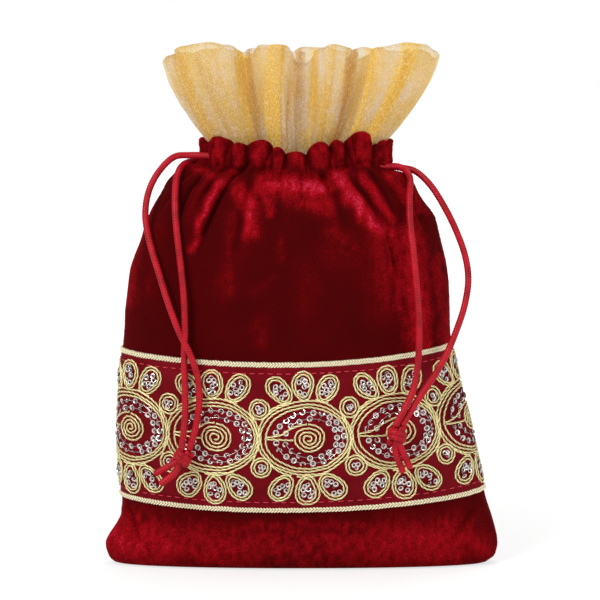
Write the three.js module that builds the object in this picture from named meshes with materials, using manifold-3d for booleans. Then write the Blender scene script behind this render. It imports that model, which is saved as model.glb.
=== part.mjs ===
// A velvet drawstring pouch with a sheer gathered frill, an embroidered border and two drawstrings.
// Millimetres, +Z up. The pouch stands on its flat foot at z = 0, and its front faces -Y.
import * as THREE from "three";
import { mergeVertices } from "three/addons/utils/BufferGeometryUtils.js";
import Module from "manifold-3d";

// The pouch's outline, from the foot up. Each level stands a rise above the one below it, and gives the
// reach to the left and right of the middle and half the depth there.
const foot = { rise: 0, left: 88, right: 88.5, depth: 17 };
const corners = { rise: 9, left: 90.6, right: 91, depth: 19 };
const waist = { rise: 17, left: 82.5, right: 87, depth: 24 };
const belly = { rise: 36, left: 84, right: 79, depth: 31 };
const chest = { rise: 44, left: 81.3, right: 69.3, depth: 31 };
const shoulder = { rise: 30, left: 77.5, right: 67.5, depth: 29.5 };
const slope = { rise: 24, left: 70, right: 62.5, depth: 27 };
const throat = { rise: 16, left: 60, right: 51, depth: 23 };
const neck = { rise: 11, left: 46, right: 42, depth: 20 };
const header = { rise: 9, left: 45, right: 41.5, depth: 20 };

// Velvet.
const clothWall = 2;
const roundness = 2.15;
const clothDip = 4.5;
const clothTilt = 1.4;
const pleats = 28;
const pleatDepth = 1.7;
const pleatDrop = 24;
const pleatUneven = 0.3;
const foldDepth = 2.6;
const foldDrop = 64;
const foldUneven = 0.25;
const headerScallop = 1.8;
const innerDrop = 6;
const footEdge = 3;

// Drawstrings, and the casing that they run in.
const cordDiameter = 3;
const cordSteps = 66;
const cordPlay = 0.9;
const casingCloth = 1.2;
const laneGap = 1;
const slitWidth = 14;
const slitOver = 1.2;

// Sheer frill, which stands in the header's mouth.
const seam = 0.3;
const frillWall = 0.8;
const frillTuck = 12;
const frillRise = 41;
const frillLeft = 59;
const frillRight = 58.5;
const frillDepth = 25;
const frillLipLeft = 47;
const frillLipRight = 45.5;
const frillLipDepth = 20;
const frillLipRise = 5;
const ruffles = 16;
const ruffleDepth = 4.2;
const ruffleScallop = 2.2;

// Embroidered border, with a braid along each edge.
const borderLow = 36.3;
const borderHeight = 63.8;
const borderWall = 0.6;
const braidWidth = 2.8;
const braidHeight = 2;

// Couched gold thread on the border: each motif is an oval with a teardrop in it, petals above and below,
// and two small rounds beside it. The petals and rounds are filled with sequins, so they are low pads.
const motifs = 9;
const motifShift = 0.115;
const motifCrowding = 0.016;
const threadGap = 0.5;
const threadHeight = 1;
const ovalHalf = { along: 20.7, up: 17.6, line: 3, sides: 22 };
const dropHalf = { along: 7.2, up: 6.3, line: 1.8, sides: 8 };
const petalHalf = { along: 4.7, up: 6.6, sides: 8 };
const roundHalf = { along: 5, up: 5, sides: 7 };
const dropShift = 1.4;
const tailWidth = 1.8;
const sidePetalAlong = 11.2;
const sidePetalUp = 21.4;
const midPetalUp = 23.6;
const petalTilt = 34;
const roundAlong = 19.8;
const roundUp = 13.2;

// Knots at the ends of the drawstrings.
const knotHalf = { across: 4.6, out: 4.2, up: 6.2 };

const colours = {
  velvet: { color: 0x7a0a1c, roughness: 0.9, metalness: 0 },
  organza: { color: 0xd9b25a, roughness: 0.45, metalness: 0.2 },
  border: { color: 0x6a1020, roughness: 0.6, metalness: 0 },
  braid: { color: 0xd8c08a, roughness: 0.5, metalness: 0.3 },
  thread: { color: 0xc9ba6a, roughness: 0.4, metalness: 0.5 },
  cord: { color: 0xb81a2c, roughness: 0.5, metalness: 0 },
};

const wasm = await Module();
wasm.setup();

// Heights of the levels, and the smooth curve of one of their values over height.
const levels = [foot, corners, waist, belly, chest, shoulder, slope, throat, neck, header];
levels.reduce((below, level) => (level.up = below + level.rise), 0);
const ease = (t) => {
  const c = Math.min(1, Math.max(0, t));
  return c * c * (3 - 2 * c);
};

// A cubic through the levels that never overshoots them.
function curveOver(rows, key) {
  const x = rows.map((row) => row.up);
  const y = rows.map((row) => row[key]);
  const slopes = x.slice(1).map((at, i) => (y[i + 1] - y[i]) / (at - x[i]));
  const tangents = x.map((_, i) => {
    const before = slopes[i - 1];
    const after = slopes[i];
    if (before === undefined || after === undefined) return before ?? after;
    return before * after <= 0 ? 0 : (2 * before * after) / (before + after);
  });
  return (at) => {
    const i = Math.max(0, x.findLastIndex((start, k) => at >= start && k < x.length - 1));
    const step = x[i + 1] - x[i];
    const t = Math.min(1, Math.max(0, (at - x[i]) / step));
    const rest = 1 - t;
    return (
      y[i] * rest * rest * (1 + 2 * t) +
      tangents[i] * step * rest * rest * t +
      y[i + 1] * t * t * (3 - 2 * t) -
      tangents[i + 1] * step * rest * t * t
    );
  };
}

// A flattened round section. Turn runs from 0 at the right side, over the back and the left, to the front.
function sectionPoint(turn, left, right, depth) {
  const c = Math.cos(turn);
  const s = Math.sin(turn);
  const bend = (value) => Math.sign(value) * Math.abs(value) ** (2 / roundness);
  return new THREE.Vector3((c > 0 ? right : left) * bend(c), depth * bend(s), 0);
}

// The turn at a share of the way round the belly, so that columns stand evenly along the cloth.
const turnSteps = 2400;
const turnTable = [0];
for (let i = 1; i <= turnSteps; i++) {
  const from = sectionPoint((2 * Math.PI * (i - 1)) / turnSteps, belly.left, belly.right, belly.depth);
  const to = sectionPoint((2 * Math.PI * i) / turnSteps, belly.left, belly.right, belly.depth);
  turnTable.push(turnTable[i - 1] + from.distanceTo(to));
}
const bellyRound = turnTable[turnSteps];
function turnAt(share) {
  const wanted = (share - Math.floor(share)) * bellyRound;
  const i = Math.min(turnSteps - 1, Math.max(0, turnTable.findIndex((length) => length > wanted) - 1));
  const part = (wanted - turnTable[i]) / (turnTable[i + 1] - turnTable[i]);
  return (2 * Math.PI * (i + part)) / turnSteps;
}

// Pleats are numbered round the pouch: a whole number is a valley and a half is a ridge. They are uneven.
const shareOf = (pleat) => {
  const swing = Math.sin((6 * Math.PI * pleat) / pleats + 1) - Math.sin(1);
  return (pleat + pleatUneven * swing) / pleats;
};

const leftAt = curveOver(levels, "left");
const rightAt = curveOver(levels, "right");
const depthAt = curveOver(levels, "depth");
const casingLow = throat.up;

// How far the cloth stands out at a pleat and height: small pleats near the casing and long folds below it.
function foldOut(pleat, up) {
  const small = Math.abs(Math.sin(Math.PI * pleat)) - 0.5;
  const pair = Math.sin(Math.PI * pleat + 1.7 * Math.sin((4 * Math.PI * pleat) / pleats));
  const smallShare = ease((up - (casingLow - pleatDrop)) / pleatDrop);
  const reach = foldDrop * (1 - foldUneven + foldUneven * Math.sin(2.4 * pleat));
  const longShare = ease((up - (casingLow - reach)) / reach) * (1 - ease((up - casingLow) / neck.rise));
  return 1.4 * pleatDepth * smallShare * small + (foldDepth / 2) * longShare * (pair - 0.1);
}

// The outer face of the velvet. Cloth lines sag a little at the middle of the front and back.
function velvetPoint(pleat, up, inset = 0) {
  const turn = turnAt(shareOf(pleat));
  const point = sectionPoint(turn, leftAt(up) - inset, rightAt(up) - inset, depthAt(up) - inset);
  const across = point.x / (point.x > 0 ? rightAt(up) : leftAt(up));
  const held = ease(up / waist.up) * (1 - ease((up - chest.up) / (throat.up - chest.up)));
  point.z = up + held * (clothTilt * across - clothDip * (1 - across * across));
  if (inset) return point;
  const out = new THREE.Vector3(point.x / leftAt(up) ** 2, point.y / depthAt(up) ** 2, 0).normalize();
  return point.addScaledVector(out, foldOut(pleat, up));
}

// A point that lies out from the velvet, square to it, over the plain cloth of the border.
function onVelvet(pleat, up, out) {
  const small = 0.02;
  const point = velvetPoint(pleat, up);
  const along = velvetPoint(pleat + small, up).sub(velvetPoint(pleat - small, up));
  const rise = velvetPoint(pleat, up + small).sub(velvetPoint(pleat, up - small));
  return point.addScaledVector(along.cross(rise).normalize(), out);
}

// Rings of points, each with the shares of the way round that its points stand at. The columns are spread
// by pleats: two to a pleat where the cloth is smooth, three where it is gathered, and one inside.
const columns = (each) => Array.from({ length: pleats * each }, (_, i) => i / each);
const hidden = columns(1);
const plain = columns(2);
const gathered = columns(3);
const ring = (at, pointOf) => ({ at: at.map((pleat) => pleat / pleats), points: at.map(pointOf) });

// One skin from a pile of rings. A looped pile closes on its first ring, and any other gets two flat lids.
function skinOf(rings, looped) {
  const positions = [];
  const index = [];
  rings.forEach((row) => {
    row.start = positions.length / 3;
    row.points.forEach((p) => positions.push(p.x, p.y, p.z));
  });
  const pairs = rings.slice(1).map((row, i) => [rings[i], row]);
  if (looped) pairs.push([rings[rings.length - 1], rings[0]]);
  for (const [a, b] of pairs) {
    // Faces that lie on each other are split along the same diagonal, whichever way the pile runs.
    const lead = b.points[0].z >= a.points[0].z ? 1e-9 : -1e-9;
    let i = 0;
    let j = 0;
    while (i < a.at.length || j < b.at.length) {
      const nextA = i < a.at.length ? (a.at[i + 1] ?? 1) : Infinity;
      const nextB = j < b.at.length ? (b.at[j + 1] ?? 1) : Infinity;
      const here = a.start + (i % a.at.length);
      const there = b.start + (j % b.at.length);
      if (nextA < nextB + lead) {
        index.push(here, a.start + ((i + 1) % a.at.length), there);
        i++;
      } else {
        index.push(here, b.start + ((j + 1) % b.at.length), there);
        j++;
      }
    }
  }
  if (!looped) {
    const flat = (row) => row.points.map((p) => new THREE.Vector2(p.x, p.y));
    const first = rings[0];
    const last = rings[rings.length - 1];
    for (const [a, b, c] of THREE.ShapeUtils.triangulateShape(flat(first), []))
      index.push(first.start + a, first.start + c, first.start + b);
    for (const [a, b, c] of THREE.ShapeUtils.triangulateShape(flat(last), []))
      index.push(last.start + a, last.start + b, last.start + c);
  }
  const geometry = new THREE.BufferGeometry();
  geometry.setAttribute("position", new THREE.Float32BufferAttribute(positions, 3));
  return geometry.setIndex(index);
}

// Between three.js geometries and solids that can be joined and cut.
function solidOf(geometry) {
  const bare = geometry.clone();
  bare.deleteAttribute("normal");
  bare.deleteAttribute("uv");
  const merged = mergeVertices(bare, 1e-4);
  const vertProperties = new Float32Array(merged.attributes.position.array);
  const triVerts = new Uint32Array(merged.index.array);
  return new wasm.Manifold(new wasm.Mesh({ numProp: 3, vertProperties, triVerts }));
}
function geometryOf(solid) {
  const mesh = solid.getMesh();
  const geometry = new THREE.BufferGeometry();
  geometry.setAttribute("position", new THREE.BufferAttribute(new Float32Array(mesh.vertProperties), 3));
  return geometry.setIndex(new THREE.BufferAttribute(new Uint32Array(mesh.triVerts), 1));
}

const pouch = new THREE.Group();
function add(name, geometry, colour) {
  geometry.computeVertexNormals();
  const mesh = new THREE.Mesh(geometry, new THREE.MeshStandardMaterial(colours[colour]));
  mesh.name = name;
  pouch.add(mesh);
}

// The casing's lanes and walls, measured in from the neck's outline.
const cordRadius = cordDiameter / 2;
const casingOuter = casingCloth + pleatDepth;
const casingInner = casingOuter + cordDiameter + 2 * cordPlay;
const casingMiddle = (casingOuter + casingInner) / 2;
const neckWall = casingInner + casingCloth;
const upperLane = neck.up + 0.5;
const lowerLane = upperLane - cordDiameter - laneGap;
const casingTop = upperLane + cordRadius + cordPlay;
const casingBottom = lowerLane - cordRadius - cordPlay;
const neckPoint = (pleat, up, inset) => {
  const turn = turnAt(shareOf(pleat));
  const point = sectionPoint(turn, neck.left - inset, neck.right - inset, neck.depth - inset);
  return point.setZ(up);
};

// The mouth's inner face: the thick casing, and above it the thin header that opens out.
const mouthWall = clothWall + pleatDepth * 0.7;
const mouthPoint = (pleat, up, gap) => {
  const open = ease((up - casingTop) / (header.up - casingTop));
  const wall = neckWall + (mouthWall - neckWall) * open + gap;
  return neckPoint(pleat, up, wall);
};
const mouthFoot = header.up - frillTuck;
const mouthRows = [header.up, (header.up + casingTop) / 2, casingTop, mouthFoot];

// Velvet bag: one length of velvet, folded at the foot and sewn at the sides. Its top is turned in as a casing.
const borderTop = borderLow + borderHeight;
const braidReach = braidWidth + 2 * seam;
const borderRows = [0, 1 / 3, 2 / 3, 1].map((share) => borderLow + share * borderHeight);
function velvetBag() {
  const strip = [borderLow - braidReach, ...borderRows, borderTop + braidReach];
  const lower = [0, footEdge, corners.up, (corners.up + waist.up) / 2, waist.up, ...strip];
  const climb = neck.up - borderTop - braidReach;
  const upper = [0.24, 0.45, 0.64, 0.8, 0.92, 1].map((share) => borderTop + braidReach + share * climb);
  const brim = (pleat) => {
    const point = velvetPoint(pleat, header.up);
    point.z += headerScallop * (2 * Math.abs(Math.sin(Math.PI * pleat)) - 1);
    return point;
  };
  const innerRows = [throat.up - innerDrop, shoulder.up, chest.up, belly.up, waist.up, corners.up];
  const innerWall = (up) => clothWall + foldDepth * ease((up - chest.up) / (throat.up - chest.up));
  const floorInset = clothWall * 3;
  const rings = [
    ...lower.map((up) => ring(plain, (p) => velvetPoint(p, up))),
    ...upper.map((up) => ring(gathered, (p) => velvetPoint(p, up))),
    ring(gathered, brim),
    ...mouthRows.map((up) => ring(hidden, (p) => mouthPoint(p, up, 0))),
    ring(hidden, (p) => neckPoint(p, casingBottom - casingCloth, neckWall)),
    ...innerRows.map((up) => ring(hidden, (p) => velvetPoint(p, up, innerWall(up)))),
    ring(hidden, (p) => velvetPoint(p, 0, floorInset).setZ(clothWall)),
  ];
  const casingRing = (up, inset) => ring(plain, (p) => neckPoint(p, up, inset));
  const tunnel = skinOf(
    [
      casingRing(casingBottom, casingInner),
      casingRing(casingBottom, casingOuter),
      casingRing(casingTop, casingOuter),
      casingRing(casingTop, casingInner),
    ],
    true,
  );
  let bag = solidOf(skinOf(rings, false)).subtract(solidOf(tunnel));
  for (const [side, reach] of [[-1, neck.left], [1, neck.right]]) {
    const deep = casingInner + pleatDepth + clothWall * 3;
    const slit = new THREE.BoxGeometry(deep, slitWidth, casingTop - casingBottom + 2 * slitOver);
    const middle = side * (reach - casingInner + deep / 2);
    slit.translate(middle, 0, (casingTop + casingBottom) / 2);
    bag = bag.subtract(solidOf(slit));
  }
  return geometryOf(bag);
}
add("velvet_bag", velvetBag(), "velvet");

// Sheer frill: it stands in the header, opens out over it and ends in deep ruffles.
function sheerFrill() {
  const lipUp = header.up + frillLipRise;
  const lip = { left: frillLipLeft, right: frillLipRight, depth: frillLipDepth, up: lipUp };
  const top = { left: frillLeft, right: frillRight, depth: frillDepth, up: header.up + frillRise };
  const bend = (a, b, share) => a + (b - a) * share;
  const spread = (share, key) => bend(lip[key], top[key], Math.sin((Math.PI / 2) * share) ** 0.85);
  const wave = (pleat) => Math.sin((2 * Math.PI * ruffles * pleat) / pleats + 0.8 * Math.sin(0.9 * pleat));
  const face = (pleat, share, inset) => {
    const left = spread(share, "left");
    const depth = spread(share, "depth");
    const turn = turnAt(shareOf(pleat));
    const point = sectionPoint(turn, left - inset, spread(share, "right") - inset, depth - inset);
    const out = new THREE.Vector3(point.x / left ** 2, point.y / depth ** 2, 0).normalize();
    point.addScaledVector(out, ruffleDepth * ease(share + 0.1) * wave(pleat));
    point.z = bend(lip.up, top.up, share) + ease(share) * ruffleScallop * wave(pleat + 0.4);
    return point;
  };
  const shares = [0, 0.4, 1];
  const tuck = [...mouthRows].reverse();
  return skinOf(
    [
      ...tuck.map((up) => ring(hidden, (p) => mouthPoint(p, up, seam))),
      ...shares.map((share) => ring(gathered, (p) => face(p, share, 0))),
      ...[...shares].reverse().map((share) => ring(gathered, (p) => face(p, share, frillWall))),
      ...mouthRows.map((up) => ring(hidden, (p) => mouthPoint(p, up, seam + frillWall))),
    ],
    true,
  );
}
add("sheer_frill", sheerFrill(), "organza");

// Border strip, sewn on round the pouch.
add(
  "embroidered_border",
  skinOf(
    [
      ...borderRows.map((up) => ring(plain, (p) => onVelvet(p, up, seam + borderWall))),
      ...[...borderRows].reverse().map((up) => ring(plain, (p) => onVelvet(p, up, seam))),
    ],
    true,
  ),
  "border",
);

// Braids along the border's edges. The section runs once round, from its lower inner corner outwards.
function braid(middle) {
  const half = braidWidth / 2;
  const section = [
    [-half, seam],
    [-half / 2, seam + braidHeight],
    [half / 2, seam + braidHeight],
    [half, seam],
  ];
  return skinOf(section.map(([rise, out]) => ring(plain, (p) => onVelvet(p, middle + rise, out))), true);
}
add("upper_braid", braid(borderTop + seam + braidWidth / 2), "braid");
add("lower_braid", braid(borderLow - seam - braidWidth / 2), "braid");

// Threadwork, laid out flat in millimetres along the border and up from its middle. A loop is a ridge.
function flatLoop(half, along) {
  const at = Array.from({ length: half.sides }, (_, i) => i / half.sides);
  const loop = (inset, height) => ({
    at,
    points: at.map((share) => {
      const turn = 2 * Math.PI * share;
      const across = (half.along - inset) * Math.cos(turn);
      return new THREE.Vector3(along + across, (half.up - inset) * Math.sin(turn), height);
    }),
  });
  return solidOf(skinOf([loop(0, 0), loop(half.line / 2, threadHeight), loop(half.line, 0)], true));
}
function flatPad(half, along, up, tiltDegrees) {
  const pad = new THREE.ConeGeometry(1, threadHeight, half.sides);
  pad.rotateX(Math.PI / 2).scale(half.along, half.up, 1);
  pad.rotateZ(THREE.MathUtils.degToRad(tiltDegrees));
  return solidOf(pad.translate(along, up, threadHeight / 2));
}
function flatTail() {
  const from = -ovalHalf.along + ovalHalf.line / 2;
  const to = dropShift - dropHalf.along + dropHalf.line / 2;
  const steps = 6;
  const bar = new THREE.BoxGeometry(to - from, tailWidth, threadHeight, steps, 1, 1);
  return solidOf(bar.translate((from + to) / 2, 0, threadHeight / 2));
}
function motifGeometry(pleatShare) {
  let motif = flatLoop(ovalHalf, 0).add(flatLoop(dropHalf, dropShift)).add(flatTail());
  for (const side of [-1, 1]) {
    motif = motif
      .add(flatPad(petalHalf, 0, side * midPetalUp, 0))
      .add(flatPad(petalHalf, -sidePetalAlong, side * sidePetalUp, side * petalTilt))
      .add(flatPad(petalHalf, sidePetalAlong, side * sidePetalUp, -side * petalTilt))
      .add(flatPad(roundHalf, -roundAlong, side * roundUp, 0));
  }
  const geometry = geometryOf(motif);
  const place = geometry.attributes.position;
  const middle = borderLow + borderHeight / 2;
  const under = seam + borderWall + threadGap;
  for (let i = 0; i < place.count; i++) {
    const share = pleatShare + place.getX(i) / bellyRound;
    const point = onShare(share, middle + place.getY(i), under + place.getZ(i));
    place.setXYZ(i, point.x, point.y, point.z);
  }
  return geometry;
}

// The same point as onVelvet, at a share of the way round in place of a pleat number.
function onShare(share, up, out) {
  let pleat = share * pleats;
  for (let i = 0; i < 20; i++) pleat += (share - shareOf(pleat)) * pleats;
  return onVelvet(pleat, up, out);
}
// The motifs stand a little wider apart at the front than at the back.
const frontShare = 0.75;
for (let i = 0; i < motifs; i++) {
  const even = i + motifShift;
  const place = even + motifCrowding * Math.sin((2 * Math.PI * even) / motifs);
  const share = frontShare + place / motifs;
  add(`gold_motif_${i + 1}`, motifGeometry(share), "thread");
}

// Drawstrings. Each goes once round the casing in its own lane, and both its ends hang at one side, where
// they are knotted together. The hanging stretches are laid by hand, from the slit down to the knot.
const leftFront = [
  [-50, -3, 189.6], [-57, -5, 189], [-64, -7.5, 182.5], [-68.6, -10, 173.5], [-70, -13, 163],
  [-68, -17, 152], [-63.6, -22, 138], [-59.3, -26.4, 125], [-54.2, -29.4, 112], [-48.8, -31.2, 101],
  [-45.8, -31.8, 91], [-45.2, -32, 81], [-46.6, -32.6, 70.5], [-49.9, -33.6, 58.6],
];
const leftRear = [
  [-48, 2.4, 186.8], [-53, -2.6, 185.4], [-55.6, -9.6, 181], [-56.2, -15.8, 174], [-56, -20.4, 164],
  [-54.8, -23.6, 152], [-53.2, -26, 139], [-52, -28.4, 126], [-51.6, -29.6, 113], [-52, -29.4, 102],
  [-51.8, -29.6, 91], [-51.6, -30.4, 80], [-51.9, -32, 70], [-53.5, -34.2, 58.4],
];
const rightFront = [
  [45.6, -3, 184.2], [49.6, -8.6, 180.5], [49.2, -17.6, 170.5], [49.4, -23, 160], [50.8, -26.4, 147],
  [52, -28.6, 134], [53, -30.2, 121], [53.3, -30.6, 109], [52.8, -30.6, 97], [50.6, -32.6, 85.6],
  [46.6, -35, 77.6], [42.4, -36.4, 70],
];
const rightRear = [
  [45.6, 3, 183.6], [52, 0.6, 182.4], [58.6, -4.6, 177], [65, -9, 167.5], [71, -11.4, 155.5],
  [75, -13.6, 144], [76.2, -16, 134], [74.4, -18.8, 122.5], [70.6, -21.4, 111.4], [66.2, -24.4, 101.4],
  [61.2, -27.6, 93], [55.9, -30.2, 85.6], [50.4, -32.6, 77.8], [45.6, -35.2, 70],
];

const asVectors = (points) => points.map(([x, y, z]) => new THREE.Vector3(x, y, z));
function roundBar(points, radius, steps) {
  const path = new THREE.CatmullRomCurve3(points, false, "centripetal");
  const section = new THREE.Shape();
  const sides = 8;
  for (let i = 0; i < sides; i++) {
    const turn = (2 * Math.PI * (i + 0.5)) / sides;
    section[i ? "lineTo" : "moveTo"](radius * Math.cos(turn), radius * Math.sin(turn));
  }
  section.closePath();
  return new THREE.ExtrudeGeometry(section, { steps, extrudePath: path, bevelEnabled: false });
}

// The stretch in the casing, from the front of a slit round to its rear. The left slit is half way round.
function laneRun(slitShare, up) {
  const points = [];
  const skipped = 0.02;
  const count = 28;
  for (let i = 0; i <= count; i++) {
    const share = slitShare + skipped + ((1 - 2 * skipped) * i) / count;
    const turn = turnAt(share);
    const reach = (side) => neck[side] - casingMiddle;
    points.push(sectionPoint(turn, reach("left"), reach("right"), reach("depth")).setZ(up));
  }
  return points;
}
function drawstring(front, rear, run) {
  const points = [...asVectors(front).reverse(), ...run, ...asVectors(rear)];
  return roundBar(points, cordRadius, cordSteps);
}
const leftSlit = turnTable[turnSteps / 2] / bellyRound;
add("left_drawstring", drawstring(leftFront, leftRear, laneRun(leftSlit, upperLane)), "cord");
add("right_drawstring", drawstring(rightFront, rightRear, laneRun(0, lowerLane).reverse()), "cord");

// A knot is drawn as the lump that its turns make, with the two short ends that stick out of it. The
// drawstring's two ends run into the lump, each in a hole that leaves the seam's gap round it.
function knot(middle, tails, strands) {
  const lump = new THREE.SphereGeometry(1, 9, 6);
  lump.scale(knotHalf.across, knotHalf.out, knotHalf.up);
  lump.translate(...middle);
  const solid = tails.reduce(
    (joined, tail) => joined.add(solidOf(roundBar(asVectors([middle, ...tail]), cordRadius, 3))),
    solidOf(lump),
  );
  return strands.reduce((cut, strand) => {
    const [before, last] = asVectors(strand.slice(-2));
    const beyond = last.clone().sub(before).setLength(seam).add(last);
    const route = [...asVectors(strand.slice(-3)), beyond];
    return cut.subtract(solidOf(roundBar(route, cordRadius + seam, 6)));
  }, solid);
}
const leftKnot = [-52.8, -34.4, 55.6];
const leftTails = [
  [[-58.5, -34.5, 52], [-65.6, -34, 48]],
  [[-56.4, -35, 48.8], [-63, -35.5, 43.6]],
];
const rightKnot = [43.4, -36.6, 66.4];
const rightTails = [
  [[45.4, -36.6, 60.2], [49.6, -36.2, 51]],
  [[42.6, -36.6, 60], [46.3, -36.2, 49]],
];
add("left_knot", geometryOf(knot(leftKnot, leftTails, [leftFront, leftRear])), "cord");
add("right_knot", geometryOf(knot(rightKnot, rightTails, [rightFront, rightRear])), "cord");

export default pouch;
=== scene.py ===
import math

import bpy
import numpy as np
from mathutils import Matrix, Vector, noise


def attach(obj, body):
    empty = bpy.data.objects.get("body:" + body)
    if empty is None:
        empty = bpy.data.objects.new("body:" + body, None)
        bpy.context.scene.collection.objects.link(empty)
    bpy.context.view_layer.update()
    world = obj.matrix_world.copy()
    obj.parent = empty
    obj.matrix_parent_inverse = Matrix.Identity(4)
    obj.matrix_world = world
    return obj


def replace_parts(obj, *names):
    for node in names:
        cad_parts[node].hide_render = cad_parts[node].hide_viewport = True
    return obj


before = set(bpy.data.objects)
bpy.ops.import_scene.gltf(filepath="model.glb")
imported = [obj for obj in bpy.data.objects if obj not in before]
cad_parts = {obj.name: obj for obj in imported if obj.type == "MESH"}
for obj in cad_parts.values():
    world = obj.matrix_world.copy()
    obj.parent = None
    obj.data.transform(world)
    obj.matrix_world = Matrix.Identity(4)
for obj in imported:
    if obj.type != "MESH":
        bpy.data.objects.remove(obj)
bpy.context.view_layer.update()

# Camera
# It looks at the pouch square from the front and a little down on it, from just over a metre away,
# which is the photograph's view.
picture_width = 0.276
picture_middle = Vector((0, 0, 0.1228))
camera_distance = 1.1
camera_climb = math.radians(7)
camera_way = Vector((0, -math.cos(camera_climb), math.sin(camera_climb)))
sensor_width = 36
camera_data = bpy.data.cameras.new("camera")
camera_data.sensor_width = sensor_width
camera_data.lens = sensor_width * camera_distance / picture_width
camera = bpy.data.objects.new("camera", camera_data)
camera.location = picture_middle + camera_distance * camera_way
camera.rotation_euler = (math.pi / 2 - camera_climb, 0, 0)
bpy.context.collection.objects.link(camera)
bpy.context.scene.camera = camera

# Drawstrings
# Two lengths of satin cord, 3 mm thick and wound round a soft core. Each goes once round the casing and
# comes out at one side, where its two strands hang and end in an overhand knot. Places are in millimetres.
# Each strand's points run from inside the casing, with the third at the slit, down to the knot.
cord_thickness = 3
cord_rib_pitch = 1.3
cord_rib_depth = 0.05
cord_sides = 16
cord_step = 0.32
knot_step = 0.4
knot_points = 60
knot_wrap_turns = 1.12
knot_reach = 2.9
# Where round the knot each of its two wraps starts, and how far along the knot it lies, in rises of a wrap.
knot_wraps = ((0, -0.45), (0.9 * math.pi, 0.55))
left_front = [
    (-33, -9.6, 189.4), (-42, -6, 189.6), (-50, -3, 189.6), (-57, -5, 189), (-64, -7.5, 182.5),
    (-68.6, -10, 173.5), (-70, -13, 163), (-68, -17, 152), (-63.6, -22, 138), (-59.3, -26.4, 125),
    (-54.2, -29.4, 112), (-48.8, -31.2, 101), (-45.8, -31.8, 91), (-45.2, -32, 81), (-46.6, -32.6, 70.5),
    (-49.9, -33.6, 58.6),
]
left_rear = [
    (-31, 8.4, 187.4), (-40, 5.4, 187.4), (-48, 2.4, 186.8), (-53, -2.6, 185.4), (-55.6, -9.6, 181),
    (-56.2, -15.8, 174), (-56, -20.4, 164), (-54.8, -23.6, 152), (-53.2, -26, 139), (-52, -28.4, 126),
    (-51.6, -29.6, 113), (-52, -29.4, 102), (-51.8, -29.6, 91), (-51.6, -30.4, 80), (-51.9, -32, 70),
    (-53.5, -34.2, 58.4),
]
right_front = [
    (29, -9.6, 185), (37.6, -6.4, 184.8), (45.6, -3, 184.2), (49.6, -8.6, 180.5), (49.2, -17.6, 170.5),
    (49.4, -23, 160), (50.8, -26.4, 147), (52, -28.6, 134), (53, -30.2, 121), (53.3, -30.6, 109),
    (52.8, -30.6, 97), (50.6, -32.6, 85.6), (46.6, -35, 77.6), (42.4, -36.4, 70),
]
right_rear = [
    (29, 9, 184.4), (37.4, 6.2, 184.2), (45.6, 3, 183.6), (52, 0.6, 182.4), (58.6, -4.6, 177),
    (65, -9, 167.5), (71, -11.4, 155.5), (75, -13.6, 144), (76.2, -16, 134), (74.4, -18.8, 122.5),
    (70.6, -21.4, 111.4), (66.2, -24.4, 101.4), (61.2, -27.6, 93), (55.9, -30.2, 85.6), (50.4, -32.6, 77.8),
    (45.6, -35.2, 70),
]
left_knot = {
    "middle": (-52.8, -34.4, 55.6),
    "rise": 3.2,
    "strands": (left_front[-1], left_rear[-1]),
    "tails": ([(-56.4, -35, 48.8), (-63, -35.5, 43.6)], [(-58.5, -34.5, 52), (-65.6, -34, 48)]),
}
right_knot = {
    "middle": (43.4, -36.6, 66.4),
    "rise": 3.6,
    "strands": (right_front[-1], right_rear[-1]),
    "tails": ([(42.6, -36.6, 60), (46.3, -36.2, 49)], [(45.4, -36.6, 60.2), (49.6, -36.2, 51)]),
}
mm = 0.001


def run_along(points):
    """How far along a line each of its points is."""
    return np.concatenate([[0], np.cumsum(np.linalg.norm(np.diff(points, axis=0), axis=1))])


def smooth_line(points, step, closed=False):
    """The centripetal curve through points, as points a step apart."""
    between = 24
    points = np.array(points, float)
    if closed:
        points = np.vstack([points[-1:], points, points[:2]])
    else:
        points = np.vstack([2 * points[0] - points[1], points, 2 * points[-1] - points[-2]])
    dense = []
    for a, b, c, d in zip(points, points[1:], points[2:], points[3:]):
        knots = np.cumsum([0] + [math.dist(p, q) ** 0.5 for p, q in ((a, b), (b, c), (c, d))])
        t = np.linspace(knots[1], knots[2], between, endpoint=False)[:, None]
        first = (a * (knots[1] - t) + b * t) / knots[1]
        second = (b * (knots[2] - t) + c * (t - knots[1])) / (knots[2] - knots[1])
        third = (c * (knots[3] - t) + d * (t - knots[2])) / (knots[3] - knots[2])
        left = (first * (knots[2] - t) + second * t) / knots[2]
        right = (second * (knots[3] - t) + third * (t - knots[1])) / (knots[3] - knots[1])
        dense.append((left * (knots[2] - t) + right * (t - knots[1])) / (knots[2] - knots[1]))
    dense = np.vstack(dense + [points[-2:-1]])
    run = run_along(dense)
    places = np.linspace(0, run[-1], max(2, round(run[-1] / step)) + 1)
    if closed:
        places = places[:-1]
    return np.stack([np.interp(places, run, dense[:, i]) for i in range(dense.shape[1])], axis=1)


def unit(vectors):
    """The same directions at length one."""
    return vectors / np.maximum(np.linalg.norm(vectors, axis=-1, keepdims=True), 1e-12)


def ring_faces(rings, around, closed_along=False):
    """Four-sided faces between rings of points that lie one after another."""
    i = np.arange(rings if closed_along else rings - 1)[:, None]
    j = np.arange(around)[None, :]
    here = i * around
    there = ((i + 1) % rings) * around
    beside = (j + 1) % around
    faces = np.stack([here + j, here + beside, there + beside, there + j], axis=-1)
    return faces.reshape(-1, 4)


def rings_along(line, side, other, turn, reach):
    """A ring of points round each point of a line, at these turns and reaches."""
    ring = np.cos(turn)[None, :, None] * side[:, None] + np.sin(turn)[None, :, None] * other[:, None]
    return line[:, None] + reach[..., None] * ring


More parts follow.
